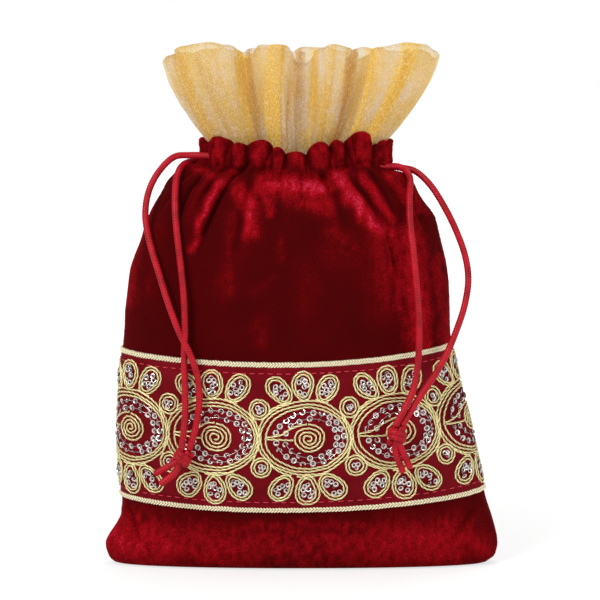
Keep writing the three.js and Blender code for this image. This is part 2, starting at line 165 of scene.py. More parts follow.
def round_cord(line, radius, sides, rib_pitch=1.0, rib_depth=0.0):
    """A round bar along a line, drawn in at both ends, and how high the slanting ribs round it stand."""
    tangents = unit(np.gradient(line, axis=0))
    side = unit(np.cross(tangents[0], (0.31, 0.87, 0.2)))
    sides_of = []
    for tangent in tangents:
        side = unit(side - tangent * side.dot(tangent))
        sides_of.append(side)
    sides_of = np.array(sides_of)
    others = np.cross(tangents, sides_of)
    run = run_along(line)
    from_end = np.minimum(run, run[-1] - run)
    end_reach = 0.45 * radius
    closing = np.sqrt(np.clip(1 - (1 - from_end / end_reach) ** 2, 0.02, 1))
    closing[from_end > end_reach] = 1
    turn = np.arange(sides) * 2 * math.pi / sides
    wave = np.cos(2 * turn[None, :] + run[:, None] * 2 * math.pi / rib_pitch)
    reach = radius * closing[:, None] * (1 + rib_depth * wave)
    points = rings_along(line, sides_of, others, turn, reach)
    faces = ring_faces(len(line), sides).tolist()
    faces += [list(range(sides))[::-1], list(range((len(line) - 1) * sides, len(line) * sides))]
    return points.reshape(-1, 3), faces, wave.reshape(-1)


def joined(parts):
    """Several lots of points, faces and heights as one."""
    faces = []
    start = 0
    for points, some_faces, _ in parts:
        faces += [[start + i for i in face] for face in some_faces]
        start += len(points)
    return np.vstack([part[0] for part in parts]), faces, np.concatenate([part[2] for part in parts])


def make_piece(name, points, faces, material, slot=None, **values):
    """A smooth mesh from points in millimetres that rides on the pouch, with values for its shader."""
    mesh = bpy.data.meshes.new(name)
    mesh.from_pydata((np.asarray(points) * mm).tolist(), [], [list(f) for f in faces])
    mesh.update()
    mesh.shade_smooth()
    mesh.materials.append(material)
    for key, by_point in values.items():
        attribute = mesh.attributes.new(key, "FLOAT", "POINT")
        attribute.data.foreach_set("value", np.asarray(by_point).reshape(-1).astype(np.float32))
    piece = bpy.data.objects.new(name, mesh)
    bpy.context.collection.objects.link(piece)
    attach(piece, "root")
    return piece


def linear(colour):
    """An sRGB hex value as linear red, green, blue and alpha."""
    parts = [int(colour[i : i + 2], 16) / 255 for i in (1, 3, 5)]
    return [c / 12.92 if c <= 0.04045 else ((c + 0.055) / 1.055) ** 2.4 for c in parts] + [1]


def start_material(name):
    """A new material and its empty node tree."""
    material = bpy.data.materials.new(name)
    material.use_nodes = True
    material.node_tree.nodes.clear()
    return material, material.node_tree


def add_node(tree, kind, settings=(), links=()):
    """A node of that kind, with its settings by property or socket and its links by socket."""
    node = tree.nodes.new(kind)
    for name, value in dict(settings).items():
        if isinstance(name, str) and hasattr(node, name):
            setattr(node, name, value)
        else:
            node.inputs[name].default_value = value
    for name, source in dict(links).items():
        tree.links.new(source, node.inputs[name])
    return node


# Satin cord: viscose wound tightly over cotton, which gives a soft shine along it, with painted shade between
# the ribs. The fibres are finer than the picture shows, so they are drawn as streaks about a millimetre long.
cord_colour = "#BC1024"
cord_shade = "#8E0614"
fibre_streaks_per_mm = 0.9
worn_spots_per_mm = 0.16
cord_satin, tree = start_material("wound_satin_cord")
where = add_node(tree, "ShaderNodeTexCoord")
ribs = add_node(tree, "ShaderNodeAttribute", {"attribute_name": "rib_height"})
streaks = add_node(
    tree,
    "ShaderNodeTexNoise",
    {"Scale": fibre_streaks_per_mm / mm, "Detail": 3},
    {"Vector": where.outputs["Object"]},
)
worn = add_node(
    tree,
    "ShaderNodeTexNoise",
    {"Scale": worn_spots_per_mm / mm, "Detail": 2},
    {"Vector": where.outputs["Object"]},
)
uneven = add_node(
    tree, "ShaderNodeMath", {"operation": "MULTIPLY_ADD", 1: 5}, {0: worn.outputs[0], 2: ribs.outputs["Fac"]}
)
# Painted shade: between the ribs the colour goes over to cord_shade, and in worn spots at random too.
mixed = add_node(
    tree,
    "ShaderNodeMix",
    {"data_type": "RGBA", 6: linear(cord_shade), 7: linear(cord_colour)},
    {0: add_node(tree, "ShaderNodeMapRange", {1: 1.2, 2: 3.3}, {0: uneven.outputs[0]}).outputs[0]},
)
fibres = add_node(
    tree, "ShaderNodeBump", {"Strength": 0.35, "Distance": 0.2 * mm}, {"Height": streaks.outputs[0]}
)
surface = add_node(
    tree,
    "ShaderNodeBsdfPrincipled",
    {"Roughness": 0.4, "Specular IOR Level": 0.2, "Sheen Weight": 0.05, "Sheen Tint": linear("#FF5060")},
    {"Base Color": mixed.outputs[2], "Normal": fibres.outputs[0]},
)
add_node(tree, "ShaderNodeOutputMaterial", (), {"Surface": surface.outputs[0]})


def hang_strand(name, route, node):
    """One hanging strand, from inside its casing slit down to the knot."""
    line = smooth_line(route, cord_step)
    points, faces, ribs = round_cord(line, cord_thickness / 2, cord_sides, cord_rib_pitch, cord_rib_depth)
    piece = make_piece(name, points, faces, cord_satin, "cord", rib_height=ribs)
    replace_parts(piece, node)


def tie_knot(name, knot, node):
    """An overhand knot: two wraps round the strands, which go on through them to their cut ends."""
    middle = np.array(knot["middle"], float)
    ends = np.mean([tail[0] for tail in knot["tails"]], axis=0)
    tops = np.mean(knot["strands"], axis=0)
    axis = unit(0.45 * (ends - middle) + 0.55 * (middle - tops) * 2)
    across = unit(np.cross(axis, (0, 1, 0)))
    out = np.cross(across, axis)
    lines = []
    for start, slide in knot_wraps:
        turns = np.linspace(0, 2 * math.pi * knot_wrap_turns, knot_points) + start
        climb = np.linspace(-0.5, 0.5, knot_points) * knot["rise"] + slide * knot["rise"]
        coil = (
            middle
            + knot_reach * np.cos(turns)[:, None] * across
            + 0.92 * knot_reach * np.sin(turns)[:, None] * out
            + climb[:, None] * axis
        )
        lines.append(smooth_line(coil[::3], knot_step))
    for strand, tail in zip(knot["strands"], knot["tails"]):
        lead = middle + 0.3 * (np.array(tail[0]) - middle)
        lines.append(smooth_line([strand, 0.5 * (np.array(strand) + lead), lead, *tail], knot_step))
    radius = cord_thickness / 2
    cords = [round_cord(line, radius, cord_sides, cord_rib_pitch, cord_rib_depth) for line in lines]
    points, faces, ribs = joined(cords)
    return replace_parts(make_piece(name, points, faces, cord_satin, "cord", rib_height=ribs), node)


left_knot_piece = tie_knot("left_knot_tied", left_knot, "left_knot")
right_knot_piece = tie_knot("right_knot_tied", right_knot, "right_knot")
hang_strand("left_front_strand", left_front, "left_drawstring")
hang_strand("left_rear_strand", left_rear, "left_drawstring")
hang_strand("right_front_strand", right_front, "right_drawstring")
hang_strand("right_rear_strand", right_rear, "right_drawstring")

# Velvet bag
# One length of crushed velvet folded at the foot and sewn at the sides. The drawn casing gathers it into
# puffs above a stitched line, and long folds run down from there over the shoulders.
velvet_roundness = 2.15
cloth_dip = 4.5
cloth_tilt = 1.4
# How far the cloth reaches to the left, to the right and to front and back at each of these heights.
levels = {
    "up": [0, 9, 26, 62, 106, 136, 160, 176, 187, 196],
    "left": [88, 90.6, 82.5, 84, 81.3, 77.5, 70, 59, 45, 44.4],
    "right": [88.5, 91, 87, 79, 69.3, 67.5, 62.5, 51, 42, 41.4],
    "depth": [17, 19, 24, 31, 31, 29.5, 27, 23, 20, 20],
}
belly = 3
waist_up, chest_up, throat_up = 26, 106, 176
border_low, border_high = 34.6, 101.8
stitch_up = 183.5
casing_up = 189
casing_round = 225
velvet_columns = 440


def level_curve(key):
    """The smooth outline of one side over height, which never overshoots the levels."""
    x = np.array(levels["up"], float)
    y = np.array(levels[key], float)
    slopes = np.diff(y) / np.diff(x)
    before, after = slopes[:-1], slopes[1:]
    both = np.where(before + after == 0, 1, before + after)
    mean = np.where(before * after <= 0, 0, 2 * before * after / both)
    tangents = np.concatenate([slopes[:1], mean, slopes[-1:]])

    def at(up):
        i = np.clip(np.searchsorted(x, up, "right") - 1, 0, len(x) - 2)
        step = x[i + 1] - x[i]
        t = np.clip((up - x[i]) / step, 0, 1)
        rest = 1 - t
        rise = tangents[i] * step * rest * rest * t - tangents[i + 1] * step * rest * t * t
        return y[i] * rest * rest * (1 + 2 * t) + y[i + 1] * t * t * (3 - 2 * t) + rise

    return at


left_at, right_at, depth_at = level_curve("left"), level_curve("right"), level_curve("depth")


def ease(t):
    """A soft step from 0 to 1."""
    t = np.clip(t, 0, 1)
    return t * t * (3 - 2 * t)


def swell(distance, half):
    """1 in the middle, and soft on both sides down to about a third at half the width."""
    return np.exp(-((distance / half) ** 2))


def round_section(turn, left, right, depth):
    """Places on the pouch's outline seen from above, at a turn round it."""
    c, s = np.cos(turn), np.sin(turn)
    x = np.where(c > 0, right, left) * np.sign(c) * np.abs(c) ** (2 / velvet_roundness)
    return x, depth * np.sign(s) * np.abs(s) ** (2 / velvet_roundness)


belly_turns = np.linspace(0, 2 * math.pi, 4001)
belly_reaches = [levels[key][belly] for key in ("left", "right", "depth")]
belly_run = run_along(np.stack(round_section(belly_turns, *belly_reaches), 1))
belly_round = belly_run[-1]


def cloth_place(share, up, inset=0.0):
    """The smooth cloth, without its folds, at a share of the way round: 0 right, 1/4 back, 3/4 front."""
    turn = np.interp((share % 1) * belly_round, belly_run, belly_turns)
    left, right, depth = left_at(up) - inset, right_at(up) - inset, depth_at(up) - inset
    x, y = round_section(turn, left, right, depth)
    across = x / np.where(x > 0, right, left)
    held = ease(up / waist_up) * (1 - ease((up - chest_up) / (throat_up - chest_up)))
    z = up + held * (cloth_tilt * across - cloth_dip * (1 - across * across))
    return np.stack(np.broadcast_arrays(x, y, z), -1)


def cloth_out(share, up):
    """The direction straight out of the smooth cloth."""
    small_share, small_rise = 0.0005, 0.2
    along = cloth_place(share + small_share, up) - cloth_place(share - small_share, up)
    rise = cloth_place(share, up + small_rise) - cloth_place(share, up - small_rise)
    return unit(np.cross(along, rise))


def cloud(points, grain, shift):
    """Soft random values about -1 to 1 that change over a distance of one grain."""
    shifted = points / grain + shift
    return np.array([noise.noise(Vector(p)) for p in shifted.reshape(-1, 3)]).reshape(points.shape[:-1])


def share_at(x, front):
    """The share of the way round where the header stands that far to the right."""
    probe = np.linspace(0.5, 1, 801) if front else np.linspace(0, 0.5, 801)
    place = cloth_place(probe, np.full_like(probe, casing_up))[:, 0]
    order = np.argsort(place)
    return float(np.interp(x, place[order], probe[order]))


# The gathers over the stitched line, from the front and from the back: how far to the right each valley
# stands, how high the cloth comes there, and how high the puff on its right comes.
front_puffs = [
    (-42.4, 192.8, 198.8), (-30.8, 194.6, 196.2), (-24.6, 194.4, 197.6), (-12.4, 193.2, 194.4),
    (-6.6, 190.4, 192.4), (2.8, 190.2, 196.8), (13.8, 193.6, 197.6), (20.7, 194.8, 201.2),
    (33.6, 194.6, 197.4),
]
back_puffs = [
    (40, 193.4, 198), (30, 194, 197), (21, 193.4, 199), (9, 193, 196.4), (0, 192.6, 198.2),
    (-12, 193.4, 197), (-20, 193.6, 199.4), (-33, 194, 197.6),
]
# The gathers under the stitched line: where the valleys stand there.
front_gathers = [-41.6, -36.4, -31, -26.8, -17, 10.6, 16.6, 25.8, 33.4]
back_gathers = [40.4, 34, 25, 15, 5, -7, -16, -27, -35]


def gathers(places):
    """A function for which gather a share lies in, how far across it that is, and how wide the gather is."""
    spots = np.array(sorted(places))
    ends = np.append(spots, spots[0] + 1)

    def at(share):
        share = np.where(share < ends[0], share + 1, share)
        i = np.clip(np.searchsorted(ends, share, "right") - 1, 0, len(spots) - 1)
        t = (share - ends[i]) / (ends[i + 1] - ends[i])
        return i, t, (ends[i + 1] - ends[i]) * casing_round

    return at


puff_rows = sorted(
    [(share_at(x, True), low, high) for x, low, high in front_puffs]
    + [(share_at(x, False), low, high) for x, low, high in back_puffs]
)
puff_at = gathers([row[0] for row in puff_rows])
gather_at = gathers([share_at(x, True) for x in front_gathers] + [share_at(x, False) for x in back_gathers])


def puff_edge(share):
    """How round the puff is at a share, its width, and the height of the cloth's edge."""
    i, t, width = puff_at(share)
    low = np.array([row[1] for row in puff_rows])
    high = np.array([row[2] for row in puff_rows])
    lean = 0.12 * np.sin(2.3 * i + 0.7)
    t = np.clip(t + lean * np.sin(math.pi * t), 0, 1)
    bulge = np.abs(np.sin(math.pi * t)) ** 0.55
    ends = low[i] * (1 - t) + low[(i + 1) % len(low)] * t
    return bulge, width, ends + (high[i] - ends) * bulge


# The stitched line wanders up and down across the front.
stitch_line = [
    (-46, 184.6), (-38, 185.4), (-33, 184.6), (-28, 182.6), (-23, 186.2), (-17, 183.4), (-12, 181.6),
    (-2, 180.8), (6, 180.4), (12, 181.6), (18, 182.6), (24, 185.8), (32, 186.2), (39, 184.8), (45, 184),
]
# Sharp creases in the puffs, from the top down: the points that each runs through, its half width and
# its depth. The points of a line are given as how far to the right and how high.
puff_creases = [
    ([(-38.3, 199), (-40, 191.4), (-41, 186)], 0.8, 1),
    ([(-31.6, 197), (-33.2, 190.8), (-34.5, 185.6)], 0.9, 1.6),
    ([(-27.6, 197), (-28.4, 190), (-30.6, 184.6)], 0.6, 0.6),
    ([(-24.1, 196), (-23.2, 187.6), (-28, 183)], 0.9, 1.8),
    ([(-12.5, 195), (-15.1, 188.2), (-17, 181)], 1.1, 2),
    ([(-10.6, 195), (-9.6, 188), (-10, 182.6)], 0.7, 0.9),
    ([(-5.7, 192), (-7.3, 185.6), (-8.6, 181)], 0.9, 1.5),
    ([(2.5, 192), (5.1, 185.3), (6.7, 179.7)], 1, 1.8),
    ([(12.5, 197), (15.8, 189.2), (17.7, 181)], 0.9, 2),
    ([(20.3, 197), (22.2, 190.1), (24.8, 184.9)], 0.8, 1.4),
    ([(23.4, 199), (24.7, 190.4), (28, 185)], 0.6, 0.9),
    ([(34.8, 199), (36.1, 191.4), (36.4, 185)], 0.8, 0.6),
]

# Long folds, which fade in from their lower ends and out at their tops: the points that each runs through,
# its half width, how far its ridge stands out, how deep the crease beside it is, and whether the crease
# lies to the right of the ridge (1) or to the left (-1).
front_folds = [
    ([(-29, 184), (-36.8, 170), (-43.7, 154.7), (-48.3, 142)], 4, 2.2, 3.2, 1),
    ([(-21.2, 184), (-24.4, 170), (-28.6, 150), (-31, 132)], 5, 1.2, 1.4, -1),
    ([(-6.9, 184), (-8.7, 174.6), (-10, 156)], 4, 0.6, 1, -1),
    ([(19.5, 184), (29.9, 171.3), (38.4, 157.4), (42.4, 140.7), (45.6, 112)], 5.5, 2.6, 2.7, 1),
    ([(30.4, 184), (39.1, 170.9), (47.9, 155)], 4.4, 1.8, 2.1, 1),
    ([(8.3, 184), (16.6, 170), (23, 150)], 5, 1, 1.1, 1),
    ([(38, 185), (49.7, 173.2), (58.9, 152)], 4.5, 1.5, 1.7, 1),
    ([(-38, 186), (-49.7, 174.6), (-58, 152)], 4.5, 1.3, 1.5, -1),
    ([(-15, 184), (-19, 166), (-22, 148)], 4, 0.8, 0.9, 1),
    ([(0.5, 184), (1.8, 163)], 4, 0.6, 0.8, 1),
    ([(-33, 186), (-41, 176), (-47, 166)], 3, 0.8, 1.3, 1),
    ([(-79, 28), (-76, 19), (-73, 7)], 3, 0.9, 2.4, 1),
    ([(80, 28), (74, 18), (69, 8)], 4, 0.8, 1.6, -1),
]
back_folds = [
    ([(-36, 187), (-47, 172), (-55, 152)], 4.5, 1.5, 1.7, -1),
    ([(-26, 187), (-33, 170), (-38, 146), (-41, 124)], 5, 1.9, 2, -1),
    ([(-16, 187), (-20, 170), (-24, 150)], 5, 1.1, 1.3, 1),
    ([(-5, 187), (-6, 172), (-9, 154)], 4, 0.8, 1, 1),
    ([(7, 187), (10, 170), (13, 148)], 5, 1.2, 1.4, -1),
    ([(18, 187), (26, 168), (31, 148), (34, 130)], 5, 2, 2.1, 1),
    ([(30, 187), (41, 170), (48, 152)], 4.5, 1.5, 1.6, 1),
    ([(76, 26), (72, 14)], 4, 0.8, 1.8, -1),
]


def fold_out(points, folds):
    """How far the long folds push these points out."""
    out = np.zeros(points.shape[:-1])
    for line, width, ridge, crease, side in folds:
        line = np.array(line, float)[::-1]
        over = np.interp(points[..., 2], line[:, 1], line[:, 0])
        low, high = line[0, 1], line[-1, 1]
        fade = ease((points[..., 2] - low) / (0.45 * (high - low)))
        fade = fade * (1 - ease((points[..., 2] - high + 3) / 4))
        beside = (points[..., 0] - over) / width
        out += fade * ridge * np.exp(-((beside + 0.75 * side) ** 2) * 1.6)
        out -= fade * crease * swell(beside, 0.34)
    return out


def crease_in(points):
    """How far the sharp creases draw these points in. The back has the front's creases, turned round."""
    front = points[..., 1] < 0
    at = np.where(front, points[..., 0], -points[..., 0])
    deep = np.zeros(points.shape[:-1])
    for line, half, depth in puff_creases:
        line = np.array(line, float)[::-1]
        over = np.interp(points[..., 2], line[:, 1], line[:, 0])
        fade = ease((points[..., 2] - line[0, 1] + 3) / 3)
        deep = np.maximum(deep, fade * depth * swell(at - over, half))
    return -deep


def stitch_height(points):
    """How high the stitched line runs over or under these points."""
    x, rise = np.array(stitch_line).T
    at_front = ease(-points[..., 1] / 6)
    at_back = stitch_up + np.sin(points[..., 0] * 0.21)
    return at_front * np.interp(points[..., 0], x, rise) + (1 - at_front) * at_back


def both_folds(points):
    """How far the long folds of the front and of the back push these points out."""
    return np.where(points[..., 1] < 0, fold_out(points, front_folds), fold_out(points, back_folds))


# What the gathering and the handling do to the cloth: how far they push it out, or in where it is less
# than nothing, how wide that grows, how often it comes, and at which heights.
puff_fullness, widest_puff = 0.2, 12
gather_fullness, widest_gather = 0.21, 14
gathers_low, gathers_full = 152, 178
pinch_depth, roll_height, roll_drop = -2.5, 1.1, 5.6
pucker_height, puckers = 0.6, 47
cord_lift, cord_lane_up = 4.4, 183.6
slit_depth, slit_up = -1.5, 188
crumple_height, crush_height = 0.9, 0.45
# From this height up the cloth lies against the frill inside it, so it is drawn in no deeper than this, and
# less at the right of the front, where the frill stands nearest.
header_low, header_depth, crowded_depth, crowded_at = 180, 4.2, 2.4, 34


def velvet_skin(share, up):
    """The velvet's outer face with its folds, puffs, stitched line and soft dents."""
    smooth = cloth_place(share, up)
    out = cloth_out(share, up)
    x, y, _ = np.moveaxis(smooth, -1, 0)
    bulge, width, _ = puff_edge(share)
    above = puff_fullness * np.minimum(width, widest_puff) * (bulge - 0.7)
    _, t, width = gather_at(share)
    below = gather_fullness * np.minimum(width, widest_gather) * (np.abs(np.sin(math.pi * t)) ** 0.6 - 0.7)
    from_line = up - stitch_height(smooth)
    over_line = ease((from_line + 2.5) / 5)
    gathering = ease((up - gathers_low) / (gathers_full - gathers_low))
    gathered = over_line * above + (1 - over_line) * gathering * below
    pinch = pinch_depth * swell(from_line, 1.8) + roll_height * swell(from_line + roll_drop, 3.4)
    pucker = pucker_height * np.sin(share * 2 * math.pi * puckers) * swell(from_line, 4)
    under_cord = cord_lift * swell(up - cord_lane_up, 3.4) * swell(y, 9) * (x < 0)
    slit = slit_depth * swell(up - slit_up, 5) * swell(y, 2.4)
    clear = ease((up - border_high - 3) / 18) + ease((border_low - 4 - up) / 12) * ease(up / 5)
    dents = 1.4 * cloud(smooth, 38, 3.1) + 0.7 * cloud(smooth, 15, 9.7)
    crushed = crush_height * cloud(smooth * np.array([1, 1, 0.45]), 4.6, 5.2) * (0.35 + ease((up - 165) / 14))
    crumple = crumple_height * cloud(smooth * np.array([1, 1, 0.6]), 4.2, 14.2) * ease(from_line / 3)
    push = gathered + crumple + pinch + pucker + under_cord + slit + clear * (dents + crushed)
    push = push + both_folds(smooth) * ease((up - 2) / 5) + crease_in(smooth) * ease((from_line + 1.5) / 3)
    deepest = header_depth - crowded_depth * swell(x - crowded_at, 6) * (y < 2)
    held = np.where(push < 0, deepest * np.tanh(push / deepest), push)
    push = push + (held - push) * ease((up - header_low) / 3)
    return smooth + push[..., None] * out


# The folded foot, from underneath round to the front: how high each ring stands and how far inside the cloth.
foot_rings = [(0.0, 14), (0.0, 6), (0.0, 3.2), (0.5, 1.6), (1.6, 0.5)]
skin_rings = np.concatenate([np.linspace(3, 150, 100), np.linspace(150.9, casing_up, 64)])
share_columns = np.arange(velvet_columns) / velvet_columns
velvet_rings = []
for up, inset in foot_rings:
    velvet_rings.append(cloth_place(share_columns, np.full(velvet_columns, up), inset))
for up in skin_rings:
    velvet_rings.append(velvet_skin(share_columns, np.full(velvet_columns, up)))
outside_rings = len(velvet_rings)

# Over the casing the cloth stands up to the puffs' edges, turns in over them and goes down inside.
half_rim = 1.5
lining_foot = 182
bulge, width, edge = puff_edge(share_columns)
leaning = cloth_out(share_columns, np.full(velvet_columns, casing_up))
outer_edge = velvet_rings[-1]
for share in np.linspace(0.12, 1, 9):
    ring = outer_edge.copy()
    ring[:, 2] = casing_up + share * (edge - half_rim - casing_up)
    crinkle = 0.8 * cloud(ring, 2.4, 6.3)
    creased = crease_in(ring) - crease_in(outer_edge)
    velvet_rings.append(ring + (share * share * (bulge - 0.5) + share * crinkle + creased)[:, None] * leaning)
rim_middle = velvet_rings[-1] - half_rim * leaning
for turn in np.linspace(0.12, 1, 7) * math.pi:
    lift = np.array([0, 0, half_rim]) * math.sin(turn)
    velvet_rings.append(rim_middle + half_rim * math.cos(turn) * leaning + lift)
inner_top = velvet_rings[-1]
for share in np.linspace(0.15, 1, 8):
    ring = inner_top.copy()
    ring[:, 2] = (1 - share) * (edge - half_rim) + share * lining_foot
    velvet_rings.append(ring)
velvet_points = np.array(velvet_rings)

# The pile makes the face a little uneven, more so on the puffs. The rings under the foot stay flat.
flat_rings = 4
pile_unevenness = 0.16
fuzz = pile_unevenness * cloud(velvet_points, 1.15, 2.2)[..., None]
fuzz *= 1 + 0.9 * ease((velvet_points[..., 2:] - 190) / 5)
velvet_points[flat_rings:] += (fuzz * unit(velvet_points * np.array([1, 2.5, 0])))[flat_rings:]

# Painted highlights where the brush has raised the pile and it catches the light, seen from the front: the
# points that each stroke runs through, its half width, and how bright it is.
front_strokes = [
    ([(-13.5, 177), (-3, 177.6), (8, 176)], 5.6, 0.78),
    ([(-15, 171), (-13, 166)], 3, 0.4),
    ([(2, 171), (12, 168)], 4.5, 0.45),
    ([(16.6, 181.7), (21.2, 174.7), (27.1, 166.8), (35, 158.9), (39.6, 155.2)], 3.6, 0.72),
    ([(40.5, 152), (43, 140), (44.5, 122)], 2.6, 0.55),
    ([(-27.4, 176), (-22.4, 168), (-21.4, 157)], 3.8, 0.62),
    ([(-29.9, 182.5), (-37.3, 176), (-44.2, 162), (-48.3, 148)], 1.7, 0.6),
    ([(-46, 184), (-39, 181.4)], 2.6, 0.42),
    ([(48, 154), (51.5, 135), (54.5, 106)], 7.5, 0.6),
    ([(62, 142), (66, 120), (66, 104)], 3.5, 0.36),
    ([(42, 182), (48.3, 174.5), (54.3, 165)], 3.4, 0.46),
    ([(28, 181), (35, 172), (42, 162)], 2.2, 0.42),
    ([(-19, 116), (-18, 108)], 3.6, 0.15),
    ([(14, 157), (24, 150)], 5, 0.2),
    ([(16, 148), (32, 146), (38, 124)], 9, 0.13),
    ([(-21, 129.5), (-12.4, 136)], 2.4, 0.13),
    ([(-9, 152), (-7.6, 145)], 2, 0.18),
    ([(3, 140), (4, 122)], 6, 0.1),
    ([(-30, 165), (-33, 130)], 4, 0.2),
    ([(-76, 146), (-78, 122)], 4, 0.24),
    ([(-64, 160), (-68, 132)], 4, 0.14),
    ([(-50, 11), (0, 12), (66, 12)], 13, 0.5),
    ([(-20, 22), (30, 22)], 4, 0.4),
    ([(-86, 12), (-64, 12)], 13, 0.6),
    ([(-74, 24), (-70, 10)], 2.4, 0.5),
    ([(66, 20), (84, 8)], 6, 0.4),
]


def brushed(points, strokes):
    """How bright the painted highlight of the strokes, where they brush the pile up, is at these points."""
    bright = np.zeros(points.shape[:-1])
    spot = points[..., (0, 2)]
    for line, half, strength in strokes:
        line = np.array(line, float)
        nearest = np.full(points.shape[:-1], 1e9)
        for a, b in zip(line, line[1:]):
            t = np.clip(((spot - a) @ (b - a)) / ((b - a) @ (b - a)), 0, 1)
            nearest = np.minimum(nearest, np.linalg.norm(spot - a - t[..., None] * (b - a), axis=-1))
        bright = np.maximum(bright, strength * swell(nearest, half))
    return bright


# How far the brush has raised the pile and the light catches it at each point, from 0 to about 1, which the
# colour paints as highlight and shade: the strokes with wavering outlines, broken into short streaks, the lit
# tops of the puffs and of the folds, painted shade in their creases, and painted shade inside the mouth.
wavering = velvet_points + 2.2 * np.stack([cloud(velvet_points, 7, k) for k in (1.5, 4.5, 7.5)], -1)
pile_lay_and_light = np.where(
    velvet_points[..., 1] < 0,
    brushed(wavering, front_strokes),
    brushed(wavering * np.array([-1, 1, 1]), front_strokes),
)
streaks = cloud(velvet_points * np.array([1, 1, 0.55]), 2.6, 1.3) + 0.6 * cloud(velvet_points, 1.3, 8.8)
header = ease((velvet_points[..., 2] - stitch_up) / 3)
# Painted highlight on the tops of the puffs, and painted shade in their creases.
lit_tops = 0.46 * (bulge[None, :] - 0.3) + 0.2 * cloud(velvet_points, 2.6, 11.1)
pile_lay_and_light = pile_lay_and_light * (1 - header) + header * (lit_tops + 0.12 * np.clip(crease_in(velvet_points), -1.5, 0) + 0.06)
pile_lay_and_light = np.clip(pile_lay_and_light, 0, 1)
pile_lay_and_light = 0.8 * pile_lay_and_light * (1 + 0.6 * streaks) + 0.09 + 0.04 * cloud(velvet_points, 12, 21.4)
# Painted highlight on the ridges of the long folds and painted shade in their creases.
pile_lay_and_light += 0.075 * np.clip(both_folds(velvet_points), -3, 2.5) * (1 - header)
# Along the foot the colour is painted darker in the middle and lighter towards the right.
foot = ease((34 - velvet_points[..., 2]) / 8)
pile_lay_and_light += foot * (0.04 * ease((velvet_points[..., 0] - 30) / 20) - 0.1 * swell(velvet_points[..., 0], 36))
# Painted shade inside the mouth: the turned-in cloth is painted darker.
turned_in = outside_rings + 14
pile_lay_and_light[turned_in:] *= 0.4

# Silk velvet: the standing pile is deep red and swallows the light, and where it is crushed flat its shine is
# painted lighter and pinker into the colour, in small specks. Its edges' shine, where one looks along the
# cloth, is painted into the colour too. The hairs are finer than the picture shows, so the pile is drawn in
# tufts and clumps of about half a millimetre.
velvet_colours = [
    (0.0, "#3A0002"), (0.2, "#560003"), (0.42, "#80040C"),
    (0.68, "#9E0715"), (0.87, "#AE1228"), (1.0, "#BA2842"),
]
tufts_per_mm = 1.7
clumps_per_mm = 1.5
velvet, tree = start_material("crushed_silk_velvet")
where = add_node(tree, "ShaderNodeTexCoord")
pile_light_value = add_node(tree, "ShaderNodeAttribute", {"attribute_name": "brushed_pile"})
tufts = add_node(
    tree,
    "ShaderNodeTexNoise",
    {"Scale": tufts_per_mm / mm, "Detail": 2},
    {"Vector": where.outputs["Object"]},
)
clumps = add_node(
    tree,
    "ShaderNodeTexNoise",
    {"Scale": clumps_per_mm / mm, "Detail": 2},
    {"Vector": where.outputs["Object"]},
)
speck = add_node(tree, "ShaderNodeMapRange", {1: 0.3, 2: 0.7, 3: 0.6, 4: 1.42}, {0: clumps.outputs[0]})
lit = add_node(
    tree, "ShaderNodeMath", {"operation": "MULTIPLY"}, {0: speck.outputs[0], 1: pile_light_value.outputs["Fac"]}
)
# Painted sheen: seen along the cloth, the edges are painted lighter.
edge_on = add_node(tree, "ShaderNodeLayerWeight", {"Blend": 0.35})
rim = add_node(tree, "ShaderNodeMath", {"operation": "POWER", 1: 2.5}, {0: edge_on.outputs["Facing"]})
lit = add_node(
    tree, "ShaderNodeMath", {"operation": "MULTIPLY_ADD", 1: 0.42}, {0: rim.outputs[0], 2: lit.outputs[0]}
)
ramp = add_node(tree, "ShaderNodeValToRGB", (), {0: lit.outputs[0]})
while len(ramp.color_ramp.elements) < len(velvet_colours):
    ramp.color_ramp.elements.new(0.5)
for element, (stop, colour) in zip(ramp.color_ramp.elements, velvet_colours):
    element.position = stop
    element.color = linear(colour)
clump_bump = add_node(
    tree, "ShaderNodeBump", {"Strength": 0.45, "Distance": 0.5 * mm}, {"Height": clumps.outputs[0]}
)
pile_bump = add_node(
    tree,
    "ShaderNodeBump",
    {"Strength": 0.5, "Distance": 0.3 * mm},
    {"Height": tufts.outputs[0], "Normal": clump_bump.outputs[0]},
)
surface = add_node(
    tree,
    "ShaderNodeBsdfPrincipled",
    {
        "Roughness": 0.9,
        "Specular IOR Level": 0.05,
        "Sheen Weight": 0.18,
        "Sheen Roughness": 0.3,
        "Sheen Tint": linear("#FF1024"),
    },
    {"Base Color": ramp.outputs[0], "Normal": pile_bump.outputs[0]},
)
add_node(tree, "ShaderNodeOutputMaterial", (), {"Surface": surface.outputs[0]})

velvet_faces = ring_faces(len(velvet_rings), velvet_columns).tolist() + [list(range(velvet_columns))[::-1]]
velvet_piece = make_piece(
    "velvet_cloth", velvet_points.reshape(-1, 3), velvet_faces, velvet, "velvet", brushed_pile=pile_lay_and_light
)
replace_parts(velvet_piece, "velvet_bag")

# Sheer frill
# A double layer of gold organza, folded over at the top. It is gathered into the mouth under the velvet
# and opens out above it in soft, overlapping ruffles.
frill_foot = 184
frill_neck = 196
frill_crest = 236
frill_gap = 1.1
frill_height = 50
frill_spread = 1.45
frill_columns = 940
# How far to the left and to the right the neck reaches, as a share of what the folded edge does, and the
# two ovals that the neck and the folded edge follow: half their depths and half their lengths.
neck_left, neck_right = 41.6 / 62, 38.8 / 63
neck_oval = (13.6, 46)
crest_oval = (25, 65)
# The ripples over the ruffles: how high they are, the share of that at the foot and what it loses going up,
# how long they are along the frill and up it, and where their random values start.
frill_ripples = [(1.8, 1.1, 0.5, 6.5, 60, 0), (0.7, 1.2, 0.7, 2.6, 34, 9), (0.3, 1, 0, 3.4, 3.6, 17)]
